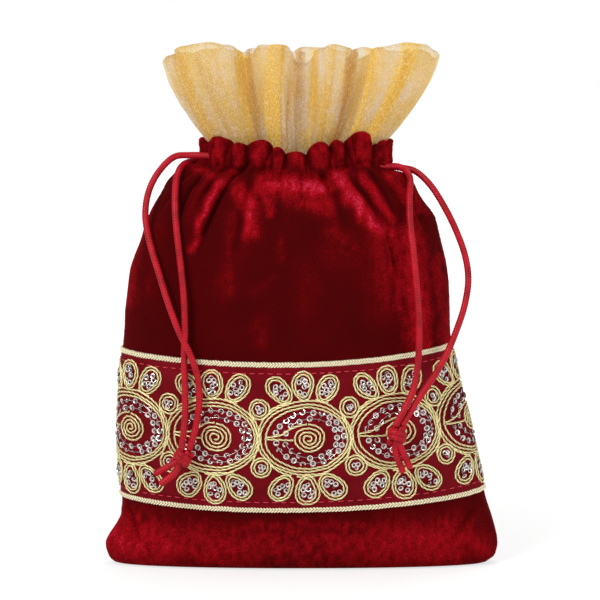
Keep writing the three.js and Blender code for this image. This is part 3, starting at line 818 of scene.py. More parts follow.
# The folded edge, seen from above, from the left end along the front to the right end and back along the
# rear: x, y and height.
frill_edge = [
    (-62, 2, 232.5), (-61.6, -5, 234), (-57.6, -9.4, 235), (-53.4, -11, 235.4), (-56.4, -16.4, 237),
    (-52, -22.6, 239.2), (-44, -26.8, 240.6), (-36, -27.6, 240.2), (-29.4, -25, 238.8), (-25.6, -19.6, 236.2),
    (-27.8, -13.4, 234.2), (-23, -14.2, 234.8), (-19.8, -22, 238.6), (-14, -25.6, 239.4),
    (-8.2, -24.8, 239.6), (-4.8, -20.6, 238.6), (-3.2, -16, 235.2), (-0.8, -12.6, 231.4),
    (2, -12.6, 231), (5.2, -16.2, 233.8), (7.4, -21, 237.4), (12, -25.8, 239.2), (17.4, -26.2, 239.2),
    (22, -23.8, 238.4), (24.4, -18.2, 236), (22, -12.4, 233.4), (26, -11.4, 233), (29.4, -15.4, 234.8),
    (33, -21.6, 237.8), (40, -25.6, 239.6), (48, -26.2, 240.6), (55, -21.8, 239.8), (60.4, -13.6, 237.4),
    (63, -5, 234.8),
    (62.4, 3, 233.4), (59.6, 11, 235.4), (54, 17.6, 237), (48, 18, 236.6), (50.4, 12.8, 235.6),
    (44, 15.4, 236), (38, 22.6, 237.2), (30, 24.6, 237.4), (23.6, 20.4, 236.2), (26, 15, 235.4),
    (20, 17.4, 236), (13.4, 24, 237.4), (5, 25.8, 237.8), (-2.4, 22, 236.6), (0.6, 16, 235.4),
    (-5.4, 17.4, 236), (-11, 24, 237.4), (-19.4, 25.4, 237.4), (-26, 20, 236), (-23.4, 15, 235.4),
    (-29, 16.4, 236), (-35.4, 22.4, 237.2), (-43, 22, 236.8), (-49.4, 15.4, 235.6), (-47, 11, 235),
    (-53, 12, 235.4), (-58.6, 9, 234.4),
]
frill_top = smooth_line(frill_edge, 0.05, closed=True)
frill_top = frill_top[np.linspace(0, len(frill_top), frill_columns, endpoint=False).astype(int)]
frill_run = run_along(frill_top[:, :2])
frill_round = frill_run[-1] + np.linalg.norm(frill_top[0, :2] - frill_top[-1, :2])
frill_angle = frill_run / frill_round * 2 * math.pi


def on_oval(x, y, half_depth, half_length):
    """How far to the front or the rear an oval stands at x, on the side that y is on."""
    return np.sign(y) * half_depth * np.sqrt(np.clip(1 - (x / half_length) ** 2, 0, 1))


def frill_plan(share, inset, slip):
    """The frill seen from above at a share of its height over the neck, a little inside its outer face."""
    x, y, _ = np.roll(frill_top, slip, axis=0).T
    neck_x = np.where(x < 0, neck_left, neck_right) * x
    neck_y = on_oval(neck_x, y, *neck_oval)
    neck_y = neck_y + 0.2 * (y - on_oval(x, y, *crest_oval))
    spread = 1 - (1 - np.clip(share, 0, 1)) ** frill_spread
    px = neck_x + (x - neck_x) * spread
    py = neck_y + (y - neck_y) * spread
    if share < 0:
        px, py = px * (1 + 0.12 * share), py * (1 + 0.3 * share)
    along = unit(np.stack([np.roll(px, -1) - np.roll(px, 1), np.roll(py, -1) - np.roll(py, 1)], 1))
    return px + inset * along[:, 1], py - inset * along[:, 0], along


def round_cloud(slip, grain, height, tall, shift):
    """Soft random values along the frill, which meet where its ends do and change slowly going up it."""
    reach = frill_round / (2 * math.pi * grain)
    angle = np.roll(frill_angle, slip)
    values = [(reach * math.cos(a), reach * math.sin(a), height / tall) for a in angle]
    return np.array([noise.noise(Vector(v) + Vector((shift, shift, shift))) for v in values])


def frill_layer(rows, inset, slip, shift):
    """One layer's rings, at these shares of its height. The columns slip round and the ripples shift."""
    rings = []
    top_up = np.roll(frill_top, slip, axis=0)[:, 2]
    for t in rows:
        share = (t * (frill_crest - frill_foot) + frill_foot - frill_neck) / (frill_crest - frill_neck)
        px, py, along = frill_plan(share, -(inset * ease(t * 4) + 0.3), slip)
        z = frill_foot + t * (top_up - frill_foot)
        height = t * frill_height
        held = ease(t * 3)
        push = np.zeros(frill_columns)
        for high, foot, less, grain, tall, start in frill_ripples:
            push += held * high * (foot - less * t) * round_cloud(slip, grain, height, tall, shift + start)
        rise = 0.9 * t * round_cloud(slip, 6, 0, 1, 23)
        rings.append(np.stack([px + push * along[:, 1], py - push * along[:, 0], z + rise], 1))
    return rings


layer_rows = np.linspace(0, 1, 44)
layer_slip = 4
outside = frill_layer(layer_rows, 0, 0, 12.4)
inside = frill_layer(layer_rows[::-1], frill_gap, layer_slip, 30.7)
over = []
for turn in (0.25, 0.5, 0.75):
    crest = (1 - turn) * outside[-1] + turn * inside[0]
    crest[:, 2] += 0.5 * frill_gap * math.sin(math.pi * turn)
    over.append(crest)
frill_points = np.array(outside + over + inside)

# The pressed creases that run down the ruffles: how far to the right each meets the folded edge, how far
# it drifts to the right on the way down, its half width and how strong it is.
front_creases = [
    (-57, -3, 0.5, 0.8), (-41.8, -4, 0.3, 0.5), (-28.8, -6, 0.35, 0.4), (-21, -6, 0.3, 0.3),
    (-7.2, -5, 0.5, 0.6), (-1.6, -7, 0.8, 0.8), (9.9, 6, 0.3, 0.4), (15.6, 0, 0.4, 0.5),
    (22.5, 2.7, 0.6, 0.9), (40, 2, 0.3, 0.2), (56.6, 5, 0.3, 0.3),
]
back_creases = [
    (-54, 2, 1, 0.5), (-40, 3, 0.8, 0.4), (-24, -3, 1, 0.7), (-8, 2, 0.7, 0.4), (0, -4, 1, 0.7),
    (14, 3, 0.7, 0.4), (25, -2, 1, 0.8), (38, 3, 0.7, 0.3), (49, 2, 1, 0.7),
]
# Pleats, where the cloth lies doubled: from and to how far to the right, the drift and how strong.
front_pleats = [
    (-57.6, -51, -3, 0.35), (-28, -23.6, -6, 0.6), (-14.4, -5.4, -8, 0.75), (4.6, 6.8, 1.6, 1),
    (11.6, 16.4, 0, 0.45), (30.6, 33.2, 4.6, 1), (45, 53.4, 0, 0.8), (-38, -30, -3, 0.15), (34, 38, 3, 0.2),
]
back_pleats = [(-46, -40, 4, 0.5), (-20, -14, -4, 0.4), (4, 9, 3, 0.5), (30, 38, -3, 0.5)]


def down_the_cloth(slip, t):
    """How strong the creases and the pleats are along one row of the frill."""
    x, y, _ = np.roll(frill_top, slip, axis=0).T
    down = (1 - t) / 0.8
    crease = np.zeros(frill_columns)
    pleat = np.zeros(frill_columns)
    for creases, pleats, here in ((front_creases, front_pleats, y < 0), (back_creases, back_pleats, y >= 0)):
        for at, drift, half, strong in creases:
            crease = np.maximum(crease, here * strong * swell(x - at - drift * down, half))
        for start, end, drift, strong in pleats:
            within = ease((x - drift * down - start) / 0.5 + 0.5) * ease((end - x + drift * down) / 0.5 + 0.5)
            pleat = np.maximum(pleat, here * strong * within)
    return crease, pleat


# The values of each point, from 0 to 1: creased, which the colour paints as shade, doubled, how dense the
# cloth looks, and how silver it is, from the wrong side and from painted sheen in patches on the flat cloth.
# The second layer, and what is over the crest on its side, shows the wrong side.
heights = np.concatenate([layer_rows, [1, 1, 1], layer_rows[::-1]])
second_layer = np.arange(len(heights)) > len(layer_rows)
rows = [down_the_cloth(layer_slip * turned, t) for turned, t in zip(second_layer.tolist(), heights)]
creased = np.array([row[0] for row in rows])
doubled = np.array([row[1] for row in rows])
heights = heights[:, None]
creased = np.clip(creased * (0.75 + 0.5 * cloud(frill_points * np.array([1, 1, 0.2]), 5, 3.3)), 0, 1)
folded_edge = swell(1 - heights, 0.012)
thin = 0.3 * ease((frill_points[..., 0] - 20) / 30) * (frill_points[..., 1] < 0)
dense = 0.75 * (1 - heights) ** 1.1 + 0.7 * creased + 0.65 * doubled + 0.6 * folded_edge - thin
# Painted sheen: soft patches of the flat cloth are painted silver.
flat_shine = cloud(frill_points * np.array([1, 1, 0.4]), 9, 6.1) + 0.5 * cloud(frill_points, 4, 2.7)
silver_side_and_sheen = 0.75 * second_layer[:, None] + 0.9 * flat_shine + 0.08 - creased - 0.7 * doubled
silver_side_and_sheen = np.clip(silver_side_and_sheen, 0, 1)
dense = dense - 0.35 * ease((heights - 0.72) / 0.1) * (frill_points[..., 1] > 0)

# Tissue organza: fine gold threads one way and clear ones the other, so it is half see-through. The right
# side is gold and the wrong side silver, with painted sheen in silver patches on the flat cloth. It looks
# deeper where layers lie together, and its creases are painted deeper, as their shade and as cloth seen
# edge-on. The brightest grains are painted glints. The threads are too fine to show, so the weave is drawn
# as a grain of about half a millimetre.
organza_gold = "#E6C45E"
organza_pleat = "#FFD83C"
organza_crease_shade = "#CE8822"
organza_shade = "#A27432"
organza_silver = "#E4DADC"
organza_glint = "#FFF8EA"
slubs_per_mm = 1.1
grains_per_mm = 2.4
organza, tree = start_material("gold_tissue_organza")
woven = add_node(tree, "ShaderNodeUVMap", {"uv_map": "weave"})
pulled = add_node(tree, "ShaderNodeMapping", {"Scale": (1, 0.5, 1)}, {"Vector": woven.outputs[0]})
slubs = add_node(
    tree, "ShaderNodeTexNoise", {"Scale": slubs_per_mm, "Detail": 2}, {"Vector": pulled.outputs[0]}
)
grain = add_node(
    tree, "ShaderNodeTexNoise", {"Scale": grains_per_mm, "Detail": 2}, {"Vector": woven.outputs[0]}
)
mingled = add_node(
    tree, "ShaderNodeMath", {"operation": "MULTIPLY_ADD", 1: 0.7}, {0: slubs.outputs[0], 2: grain.outputs[0]}
)
creases = add_node(tree, "ShaderNodeAttribute", {"attribute_name": "creased"})
pleats = add_node(tree, "ShaderNodeAttribute", {"attribute_name": "doubled"})
crowded = add_node(tree, "ShaderNodeAttribute", {"attribute_name": "dense"})
silver_and_sheen = add_node(tree, "ShaderNodeAttribute", {"attribute_name": "silver_side_and_sheen"})
# Painted glints: the brightest grains are painted near white.
glints = add_node(tree, "ShaderNodeMapRange", {1: 0.88, 2: 1.06, 4: 0.8}, {0: mingled.outputs[0]})
specks = add_node(tree, "ShaderNodeMapRange", {1: 0.36, 2: 0.52, 3: 0.75, 4: 0}, {0: grain.outputs[0]})
gold = add_node(
    tree,
    "ShaderNodeMix",
    {"data_type": "RGBA", 6: linear(organza_gold), 7: linear(organza_silver)},
    {0: silver_and_sheen.outputs["Fac"]},
)
# Painted shade: the creases take a deeper orange.
for amount, colour in (
    (pleats.outputs["Fac"], organza_pleat),
    (creases.outputs["Fac"], organza_crease_shade),
    (specks.outputs[0], organza_shade),
    (glints.outputs[0], organza_glint),
):
    gold = add_node(
        tree, "ShaderNodeMix", {"data_type": "RGBA", 7: linear(colour)}, {0: amount, 6: gold.outputs[2]}
    )
cover = add_node(tree, "ShaderNodeMapRange", {1: 0.68, 2: 1, 3: 0.06, 4: 0.5}, {0: mingled.outputs[0]})
cover = add_node(
    tree,
    "ShaderNodeMath",
    {"operation": "MULTIPLY_ADD", 1: 0.45},
    {0: crowded.outputs["Fac"], 2: cover.outputs[0]},
)
tint = add_node(
    tree,
    "ShaderNodeMix",
    {"data_type": "RGBA", 6: linear("#FFF4D8"), 7: linear("#FFFCF6")},
    {0: silver_and_sheen.outputs["Fac"]},
)
relief = add_node(
    tree, "ShaderNodeBump", {"Strength": 0.5, "Distance": 0.3 * mm}, {"Height": mingled.outputs[0]}
)
shine = add_node(
    tree,
    "ShaderNodeBsdfPrincipled",
    {
        "Roughness": 0.4,
        "Metallic": 0.2,
        "Sheen Weight": 0.2,
        "Sheen Roughness": 0.3,
        "Sheen Tint": linear("#FFF6E4"),
    },
    {"Base Color": gold.outputs[2], "Normal": relief.outputs[0]},
)
glow = add_node(tree, "ShaderNodeBsdfTranslucent", (), {"Color": gold.outputs[2]})
cloth = add_node(tree, "ShaderNodeMixShader", {0: 0.45}, {1: shine.outputs[0], 2: glow.outputs[0]})
gaps = add_node(tree, "ShaderNodeBsdfTransparent", (), {"Color": tint.outputs[2]})
surface = add_node(
    tree, "ShaderNodeMixShader", (), {0: cover.outputs[0], 1: gaps.outputs[0], 2: cloth.outputs[0]}
)
add_node(tree, "ShaderNodeOutputMaterial", (), {"Surface": surface.outputs[0]})


def lay_weave(piece, across, along, around):
    """Weave coordinates in millimetres. The rings close on themselves, so the last column is counted on."""
    layer = piece.data.uv_layers.new(name="weave")
    corners = np.zeros(len(piece.data.loops), dtype=np.int32)
    piece.data.loops.foreach_get("vertex_index", corners)
    ring, column = corners // around, corners % around
    faces = np.repeat(np.arange(len(corners) // 4), 4)
    wraps = (faces % around == around - 1) & (column == 0)
    u = np.where(wraps, across[-1], across[column])
    layer.data.foreach_set("uv", np.stack([u, along[ring]], 1).reshape(-1).astype(np.float32))


frill_faces = ring_faces(len(frill_points), frill_columns).tolist()
cloth_values = {"creased": creased, "doubled": doubled, "dense": np.clip(dense, 0, 1), "silver_side_and_sheen": silver_side_and_sheen}
frill_piece = make_piece(
    "organza_frill", frill_points.reshape(-1, 3), frill_faces, organza, "organza", **cloth_values
)
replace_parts(frill_piece, "sheer_frill")
up_run = run_along(frill_points[:, 0])
lay_weave(frill_piece, np.append(frill_run, frill_round), up_run, frill_columns)

# Embroidered border
# A band of maroon satin sewn on round the pouch, with a red running stitch just inside both its edges.
border_lift = 0.55
border_columns = 520
border_rows = np.linspace(border_low, border_high, 60)


def border_place(share, up, out):
    """Places on the border, that far out from the smooth cloth."""
    return cloth_place(share, up) + np.asarray(out)[..., None] * cloth_out(share, up)


satin_columns = np.arange(border_columns) / border_columns
border_rings = []
for up in border_rows:
    flat = cloth_place(satin_columns, np.full(border_columns, up))
    ripple = 0.16 * cloud(flat, 9, 4.4) + 0.07 * cloud(flat, 3.5, 7.7)
    border_rings.append(border_place(satin_columns, np.full(border_columns, up), border_lift + ripple))
border_points = np.array(border_rings)

# Satin: maroon filament yarn with a low shine, painted as soft lighter patches over the cloth. The weft is
# finer than the picture shows, so it is drawn as slanting bands somewhat over half a millimetre apart.
satin_maroon = "#66040D"
satin_sheen = "#7C0818"
satin, tree = start_material("maroon_satin_weave")
woven = add_node(tree, "ShaderNodeUVMap", {"uv_map": "weave"})
weft = add_node(
    tree,
    "ShaderNodeTexWave",
    {"bands_direction": "DIAGONAL", "Scale": 0.7, "Distortion": 0.6, "Detail": 1},
    {"Vector": woven.outputs[0]},
)
shading = add_node(tree, "ShaderNodeTexNoise", {"Scale": 0.06, "Detail": 3}, {"Vector": woven.outputs[0]})
# Painted sheen: soft patches of the satin are painted lighter.
mixed = add_node(
    tree,
    "ShaderNodeMix",
    {"data_type": "RGBA", 6: linear(satin_maroon), 7: linear(satin_sheen)},
    {0: add_node(tree, "ShaderNodeMapRange", {1: 0.35, 2: 0.7}, {0: shading.outputs[0]}).outputs[0]},
)
relief = add_node(
    tree, "ShaderNodeBump", {"Strength": 0.25, "Distance": 0.1 * mm}, {"Height": weft.outputs["Fac"]}
)
surface = add_node(
    tree,
    "ShaderNodeBsdfPrincipled",
    {"Roughness": 0.6, "Specular IOR Level": 0.06},
    {"Base Color": mixed.outputs[2], "Normal": relief.outputs[0]},
)
add_node(tree, "ShaderNodeOutputMaterial", (), {"Surface": surface.outputs[0]})
border_faces = ring_faces(len(border_rings), border_columns).tolist()
border_piece = make_piece(
    "border_satin", border_points.reshape(-1, 3), border_faces, satin, "border_cloth"
)
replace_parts(border_piece, "embroidered_border")
lay_weave(border_piece, np.append(satin_columns, 1) * belly_round, border_rows, border_columns)

stitch_length = 2.7
stitch_pitch = 4.1
stitch_radius = 0.24
stitch_inset = 3.9
stitch_lift, stitch_bow = 0.22, 0.18
stitch_count = round(belly_round / stitch_pitch)
stitch_points = np.linspace(-0.5, 0.5, 7)
stitches = []
for row, up in enumerate((border_low + stitch_inset, border_high - stitch_inset)):
    for i in range(stitch_count):
        middle = (i + 0.5 * row) / stitch_count
        share = middle + stitch_points * stitch_length / belly_round
        rise = up + 0.25 * noise.noise(Vector((i * 0.37, row, 0.5)))
        out = border_lift + stitch_lift + stitch_bow * np.cos(math.pi * stitch_points)
        line = border_place(share, np.full(len(stitch_points), rise), out)
        stitches.append(round_cord(line, stitch_radius, sides=6))
# Sewing thread: mercerised cotton, which is a little shiny.
stitch_red, tree = start_material("red_sewing_thread")
surface = add_node(tree, "ShaderNodeBsdfPrincipled", {"Base Color": linear("#D0283E"), "Roughness": 0.5})
add_node(tree, "ShaderNodeOutputMaterial", (), {"Surface": surface.outputs[0]})
make_piece("running_stitch", *joined(stitches)[:2], stitch_red, "border_cloth")

# Braids
# Two lengths of crochet braid in pale gold metallic yarn, sewn over the border's edges. Slanting loops
# meet in a point along the middle.
braid_width = 2.7
braid_height = 1.3
braid_pitch = 1.4
braid_step = 0.2
braid_lines = 11
braid_sink = 0.4
loop_slant = 0.9
seam_depth, seam_half = 0.45, 0.16

# Metallic yarn: pale gold with a soft sheen, with painted shade in the hollows between the loops, where they
# meet in the middle and at the edges. Its fibres are drawn coarser than real, so that they show.
braid_gold = "#FFF4CE"
braid_shade = "#5C4214"
yarn_fibres_per_mm = 1.5
braid_yarn, tree = start_material("crochet_gold_braid")
where = add_node(tree, "ShaderNodeTexCoord")
hollows = add_node(tree, "ShaderNodeAttribute", {"attribute_name": "loop_height"})
yarn = add_node(
    tree,
    "ShaderNodeTexNoise",
    {"Scale": yarn_fibres_per_mm / mm, "Detail": 2},
    {"Vector": where.outputs["Object"]},
)
depth = add_node(
    tree,
    "ShaderNodeMath",
    {"operation": "MULTIPLY_ADD", 1: 0.4},
    {0: yarn.outputs[0], 2: hollows.outputs["Fac"]},
)
# Painted shade: the hollows, the middle and the edges of the braid go over to braid_shade.
mixed = add_node(
    tree,
    "ShaderNodeMix",
    {"data_type": "RGBA", 6: linear(braid_shade), 7: linear(braid_gold)},
    {0: add_node(tree, "ShaderNodeMapRange", {1: 0.12, 2: 0.66}, {0: depth.outputs[0]}).outputs[0]},
)
relief = add_node(
    tree, "ShaderNodeBump", {"Strength": 0.4, "Distance": 0.2 * mm}, {"Height": yarn.outputs[0]}
)
surface = add_node(
    tree,
    "ShaderNodeBsdfPrincipled",
    {"Roughness": 0.5, "Metallic": 0.05, "Sheen Weight": 0.4, "Sheen Tint": linear("#FFF2D8")},
    {"Base Color": mixed.outputs[2], "Normal": relief.outputs[0]},
)
add_node(tree, "ShaderNodeOutputMaterial", (), {"Surface": surface.outputs[0]})


def lay_braid(name, middle_up, node):
    """One braid round the pouch, in lines side by side from its lower edge to its upper."""
    count = round(belly_round / braid_step)
    share = np.arange(count) / count
    run = share * belly_round
    rings = []
    heights = []
    for k in range(braid_lines):
        across = -1 + 2 * k / (braid_lines - 1)
        dome = math.sqrt(max(0, 1 - across * across))
        turns = run / braid_pitch + loop_slant * abs(across) + 0.5 * (across > 0)
        loop = 0.5 + 0.5 * np.cos(2 * math.pi * turns)
        seam = 1 - seam_depth * swell(across, seam_half)
        wobble = 0.18 * np.array([noise.noise(Vector((v * 0.35, middle_up, 0))) for v in run])
        up = middle_up + across * 0.5 * braid_width * (0.88 + 0.12 * loop) + wobble
        out = border_lift - braid_sink + braid_height * dome * seam * (0.5 + 0.5 * loop)
        rings.append(border_place(share, up, out))
        heights.append(dome * seam * loop)
    points = np.array(rings)
    faces = ring_faces(braid_lines, count).tolist()
    piece = make_piece(name, points.reshape(-1, 3), faces, braid_yarn, "braid", loop_height=heights)
    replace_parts(piece, node)


lay_braid("upper_crochet_braid", border_high, "upper_braid")
lay_braid("lower_crochet_braid", border_low, "lower_braid")

# Gold embroidery
# Two-ply metallic thread laid on the satin and sewn down, one motif like the next all the way round: a
# wide oval with a spiral and its stem inside, three petals above and below it, and small rounds between.
motifs = 9
motif_shift = 0.115
motif_crowding = 0.016
motif_middle_up = (border_low + border_high) / 2
thread_radius = 0.4
thread_twist = 2.8
thread_step = 0.44
thread_sides = 6
# The petals of a motif: where each one's middle is, half its width and height, and how far it leans. The
# rounds: where their middles are, and how far their two threads reach. Places are from the motif's middle.
petal_narrowing = 0.16
petals = [
    (-11.9, 22, 4.6, 7.1, 42), (-0.9, 24, 5, 6.5, 5), (10.8, 22.5, 4.8, 6.9, -32),
    (-11, -22.6, 4.9, 6.7, -38), (0.5, -23.9, 5, 7, 0), (11.6, -22.3, 4.9, 6.9, 42),
]
rounds = [(-20.9, 13.5), (-19.9, -13.2)]
round_reaches = (4.5, 3.1)


def ring_line(x, z, wide, high, lean=0, start=0.0, turns=1.0, narrow=0.0, closing=0.0):
    """A closed or spiralling oval. It can be narrower at one end, and can draw in as it goes round."""
    count = max(24, round(abs(turns) * math.pi * (wide + high) / thread_step))
    turn = start + np.linspace(0, turns * 2 * math.pi, count)
    shrink = 1 - closing * np.linspace(0, 1, count)
    a = wide * shrink * np.cos(turn) * (1 - narrow * np.sin(turn))
    b = high * shrink * np.sin(turn)
    c, s = math.cos(math.radians(lean)), math.sin(math.radians(lean))
    return np.stack([x + a * c - b * s, z + a * s + b * c], 1)


def motif_lines():
    """One motif's threads, in millimetres along the border and up from its middle."""
    oval_outer = ring_line(0, 0.3, 20.4, 15.4, start=math.pi)
    oval_inner = ring_line(0.6, 0.3, 18.6, 14, start=math.pi)
    over = [(-21.6, 0), (-20.6, 5.6), (-17.4, 10.5), (-11.4, 14.7), (-5, 16.8), (1, 17.4)]
    over += [(7, 16.7), (13, 14), (17.6, 10.1), (20.4, 5.2), (21.6, 0)]
    under = [(x, -z * 0.96 + 0.2) for x, z in over]
    stem_over = [(-17.6, 0.8), (-13.6, 1.3), (-9.6, 2.5), (-6.4, 4.3), (-3.2, 6), (0.9, 6.8)]
    stem_under = [(-17.4, -0.2), (-13.4, -0.4), (-9.6, -0.6), (-5.4, -0.8)]
    spiral = ring_line(1.4, -0.1, 7.6, 6.6, start=math.pi / 2, turns=-3.6, closing=0.9)
    lines = [oval_outer, oval_inner, smooth_line(over, thread_step), smooth_line(under, thread_step)]
    lines += [smooth_line(stem_over, thread_step), smooth_line(stem_under, thread_step), spiral]
    for x, z, wide, high, lean in petals:
        narrow = -petal_narrowing if z > 0 else petal_narrowing
        for a, b in ((wide, high), (wide - 1.3, high - 1.35)):
            lines.append(ring_line(x, z, a, b, lean, start=math.pi * 1.5, narrow=narrow))
    for x, z in rounds:
        lines += [ring_line(x, z, reach, reach, start=0.6) for reach in round_reaches]
    joins = [
        [(-7.4, 17), (-9.6, 16.3), (-13.4, 14.6), (-16.6, 12.5)],
        [(-6.4, -16.6), (-9.2, -15.9), (-12.6, -14.2), (-16, -11.9)],
        [(-25.4, 11.6), (-24, 8), (-22.6, 4.4), (-21.2, 1)],
        [(-24.4, -12), (-23.2, -8.4), (-22, -4.6), (-21, -1)],
        [(5, 17.4), (8, 16.8), (11, 15.7)],
        [(-4, -17), (0, -17.4), (5.6, -16.8), (9.6, -15.2)],
    ]
    lines += [smooth_line(join, thread_step) for join in joins]
    return lines


def lay_thread(share, up):
    """A two-ply thread lying on the satin. Its section is two lobes that turn as it goes along."""
    over_cloth = cloth_out(share, up)
    line = cloth_place(share, up) + (border_lift + 0.75 * thread_radius) * over_cloth
    tangents = unit(np.gradient(line, axis=0))
    side = unit(np.cross(over_cloth, tangents))
    top = np.cross(tangents, side)
    turn = np.arange(thread_sides) * 2 * math.pi / thread_sides
    lobes = 1 + 0.25 * np.cos(2 * turn[None, :] - run_along(line)[:, None] * 2 * math.pi / thread_twist)
    points = rings_along(line, side, top, turn, thread_radius * lobes)
    return points.reshape(-1, 3), ring_faces(len(line), thread_sides).tolist(), lobes.reshape(-1)


# Metallic thread: foil wound on a core, with a painted glint along each ply's top and painted shade where
# the plies meet. The foil's windings are drawn coarser than real, so that they show.
windings_per_mm = 1.3
gold_thread_colour = "#FFF4B4"
gold_thread_shade = "#6E5618"
gold_thread, tree = start_material("metallic_gold_thread")
where = add_node(tree, "ShaderNodeTexCoord")
windings = add_node(
    tree,
    "ShaderNodeTexNoise",
    {"Scale": windings_per_mm / mm, "Detail": 2},
    {"Vector": where.outputs["Object"]},
)
plies = add_node(tree, "ShaderNodeAttribute", {"attribute_name": "ply_height"})
rise = add_node(
    tree,
    "ShaderNodeMath",
    {"operation": "MULTIPLY_ADD", 1: 0.3},
    {0: windings.outputs[0], 2: plies.outputs["Fac"]},
)
# Painted glint and shade: the colour goes from the shade between the plies to the glint on their tops.
mixed = add_node(
    tree,
    "ShaderNodeMix",
    {"data_type": "RGBA", 6: linear(gold_thread_shade), 7: linear(gold_thread_colour)},
    {0: add_node(tree, "ShaderNodeMapRange", {1: 0.9, 2: 1.16}, {0: rise.outputs[0]}).outputs[0]},
)
surface = add_node(
    tree,
    "ShaderNodeBsdfPrincipled",
    {"Roughness": 0.38, "Metallic": 0.3, "Sheen Weight": 0.3, "Sheen Tint": linear("#FFF6C0")},
    {"Base Color": mixed.outputs[2]},
)
add_node(tree, "ShaderNodeOutputMaterial", (), {"Surface": surface.outputs[0]})


def motif_share(i):
    """The share of the way round at the middle of a motif. They stand a little wider apart at the front."""
    even = i + motif_shift
    return 0.75 + (even + motif_crowding * math.sin(2 * math.pi * even / motifs)) / motifs


def hand_waver(flat, start):
    """How far a hand-laid line strays, as soft random values that change over about 6 mm."""
    return np.array([noise.noise(Vector((u * 0.16, v * 0.16, start))) for u, v in flat])


hand_error = 0.5
lines = motif_lines()
for i in range(motifs):
    middle = motif_share(i)
    threads = []
    for number, flat in enumerate(lines):
        start = 7 * i + 0.3 * number
        share = middle + (flat[:, 0] + hand_error * hand_waver(flat, start)) / belly_round
        up = motif_middle_up + flat[:, 1] + hand_error * hand_waver(flat, start + 50)
        threads.append(lay_thread(share, up))
    name = f"gold_embroidery_{i + 1}"
    points, faces, plies = joined(threads)
    piece = make_piece(name, points, faces, gold_thread, "gold_thread", ply_height=plies)
    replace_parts(piece, f"gold_motif_{i + 1}")

# Sequins
# Small cupped silver sequins, just under 3 mm across with a hole in the middle, sewn on in two rows inside
# each oval and in little heaps inside the petals and rounds.
sequin_radius = 1.38
sequin_hole = 0.42
sequin_cup = 0.5
sequin_sides = 14
# The cup's section, from the outside in and back: shares of its radius and of its height.
cup_section = [(1, 0.55), (0.98, 0.6), (0.66, 0.12), (sequin_hole / sequin_radius, 0), (0.66, 0.04), (1, 0.5)]
# The two rows inside an oval: the middle, half the width and height, and how many sequins.
sequin_rows = [(1.8, 0.4, 15.4, 11.7, 21), (2.6, 0.2, 12, 8.9, 15)]
row_lift = 0.12
strung_lift = 0.3
strung_thread_radius = 0.13
# A petal's heap: how many sequins, how far it keeps from the petal's side and end, and the sequins' size
# beside the rows'. A round's heap: where round its middle the sequins lie, how far out, and their size.
heap_size = 7
heap_margins = (2.3, 2.5)
heap_share = 0.9
round_turns = (0.4, 2.5, 4.6)
round_reach = 0.9
round_share = 0.86
sequin_random = np.random.default_rng(11)


def sequin(share, up, lift, radius):
    """One sequin, tipped a little any way, with its cup facing out."""
    share, up = np.array([share]), np.array([up])
    out = cloth_out(share, up)[0]
    middle = cloth_place(share, up)[0] + (border_lift + lift) * out
    tip = sequin_random.normal(0, 0.25, 3)
    axis = unit(out + tip)
    side = unit(np.cross(axis, (0.2, 0.1, 1)))
    other = np.cross(axis, side)
    turn = np.arange(sequin_sides) * 2 * math.pi / sequin_sides
    rings = []
    for reach, rise in cup_section:
        ring = middle + radius * reach * (np.cos(turn)[:, None] * side + np.sin(turn)[:, None] * other)
        rings.append(ring + rise * sequin_cup * axis)
    faces = ring_faces(len(rings), sequin_sides, closed_along=True).tolist()
    return np.vstack(rings), faces, np.zeros(len(rings) * sequin_sides)


# Silver foil on a thin plastic disc, pressed to a cup: a near mirror that glints at any angle.
silver_foil, tree = start_material("silver_foil_sequin")
surface = add_node(
    tree, "ShaderNodeBsdfPrincipled", {"Base Color": linear("#E2DAD4"), "Metallic": 0.95, "Roughness": 0.14}
)
add_node(tree, "ShaderNodeOutputMaterial", (), {"Surface": surface.outputs[0]})
for i in range(motifs):
    middle = motif_share(i)
    discs = []
    spots = []
    for x, z, wide, high, count in sequin_rows:
        turns = math.pi + (np.arange(count) + 0.7) * 2 * math.pi / (count + 0.4)
        row = np.array([(x + wide * math.cos(t), z + high * math.sin(t)) for t in turns])
        spots += [(u, v, row_lift, 1) for u, v in row]
        line = smooth_line(row, 1)
        over = np.full(len(line), border_lift + strung_lift)
        strung = border_place(middle + line[:, 0] / belly_round, motif_middle_up + line[:, 1], over)
        discs.append(round_cord(strung, strung_thread_radius, sides=4))
    for x, z, wide, high, lean in petals:
        c, s = math.cos(math.radians(lean)), math.sin(math.radians(lean))
        for k in range(heap_size):
            t = k * 2.4 + x
            reach = 0.2 if k == 0 else 0.6 + 0.14 * (k % 3)
            a = (wide - heap_margins[0]) * reach * math.cos(t)
            b = (high - heap_margins[1]) * reach * math.sin(t)
            spots.append((x + a * c - b * s, z + a * s + b * c, 0.15 + 0.08 * k, heap_share))
    for x, z in rounds:
        for t in round_turns:
            u, v = x + round_reach * math.cos(t), z + round_reach * math.sin(t)
            spots.append((u, v, 0.2 + 0.15 * t, round_share))
    for u, v, lift, size in spots:
        u, v = u + sequin_random.normal(0, 0.2), v + sequin_random.normal(0, 0.2)
        share = middle + u / belly_round
        discs.append(sequin(share, motif_middle_up + v, lift, sequin_radius * size))
    make_piece(f"sequins_{i + 1}", *joined(discs)[:2], silver_foil)

# Studio
# A pale floor and soft light from the upper left, with a fill from the right and a bright surround.
floor_half = 3
floor_gap = 0.0004
floor_corners = [(x * floor_half, y * floor_half, 0) for x, y in ((-1, -1), (1, -1), (1, 1), (-1, 1))]
floor_mesh = bpy.data.meshes.new("floor")
floor_mesh.from_pydata(floor_corners, [], [(0, 1, 2, 3)])
floor = bpy.data.objects.new("floor", floor_mesh)
floor.location.z = -floor_gap
bpy.context.collection.objects.link(floor)
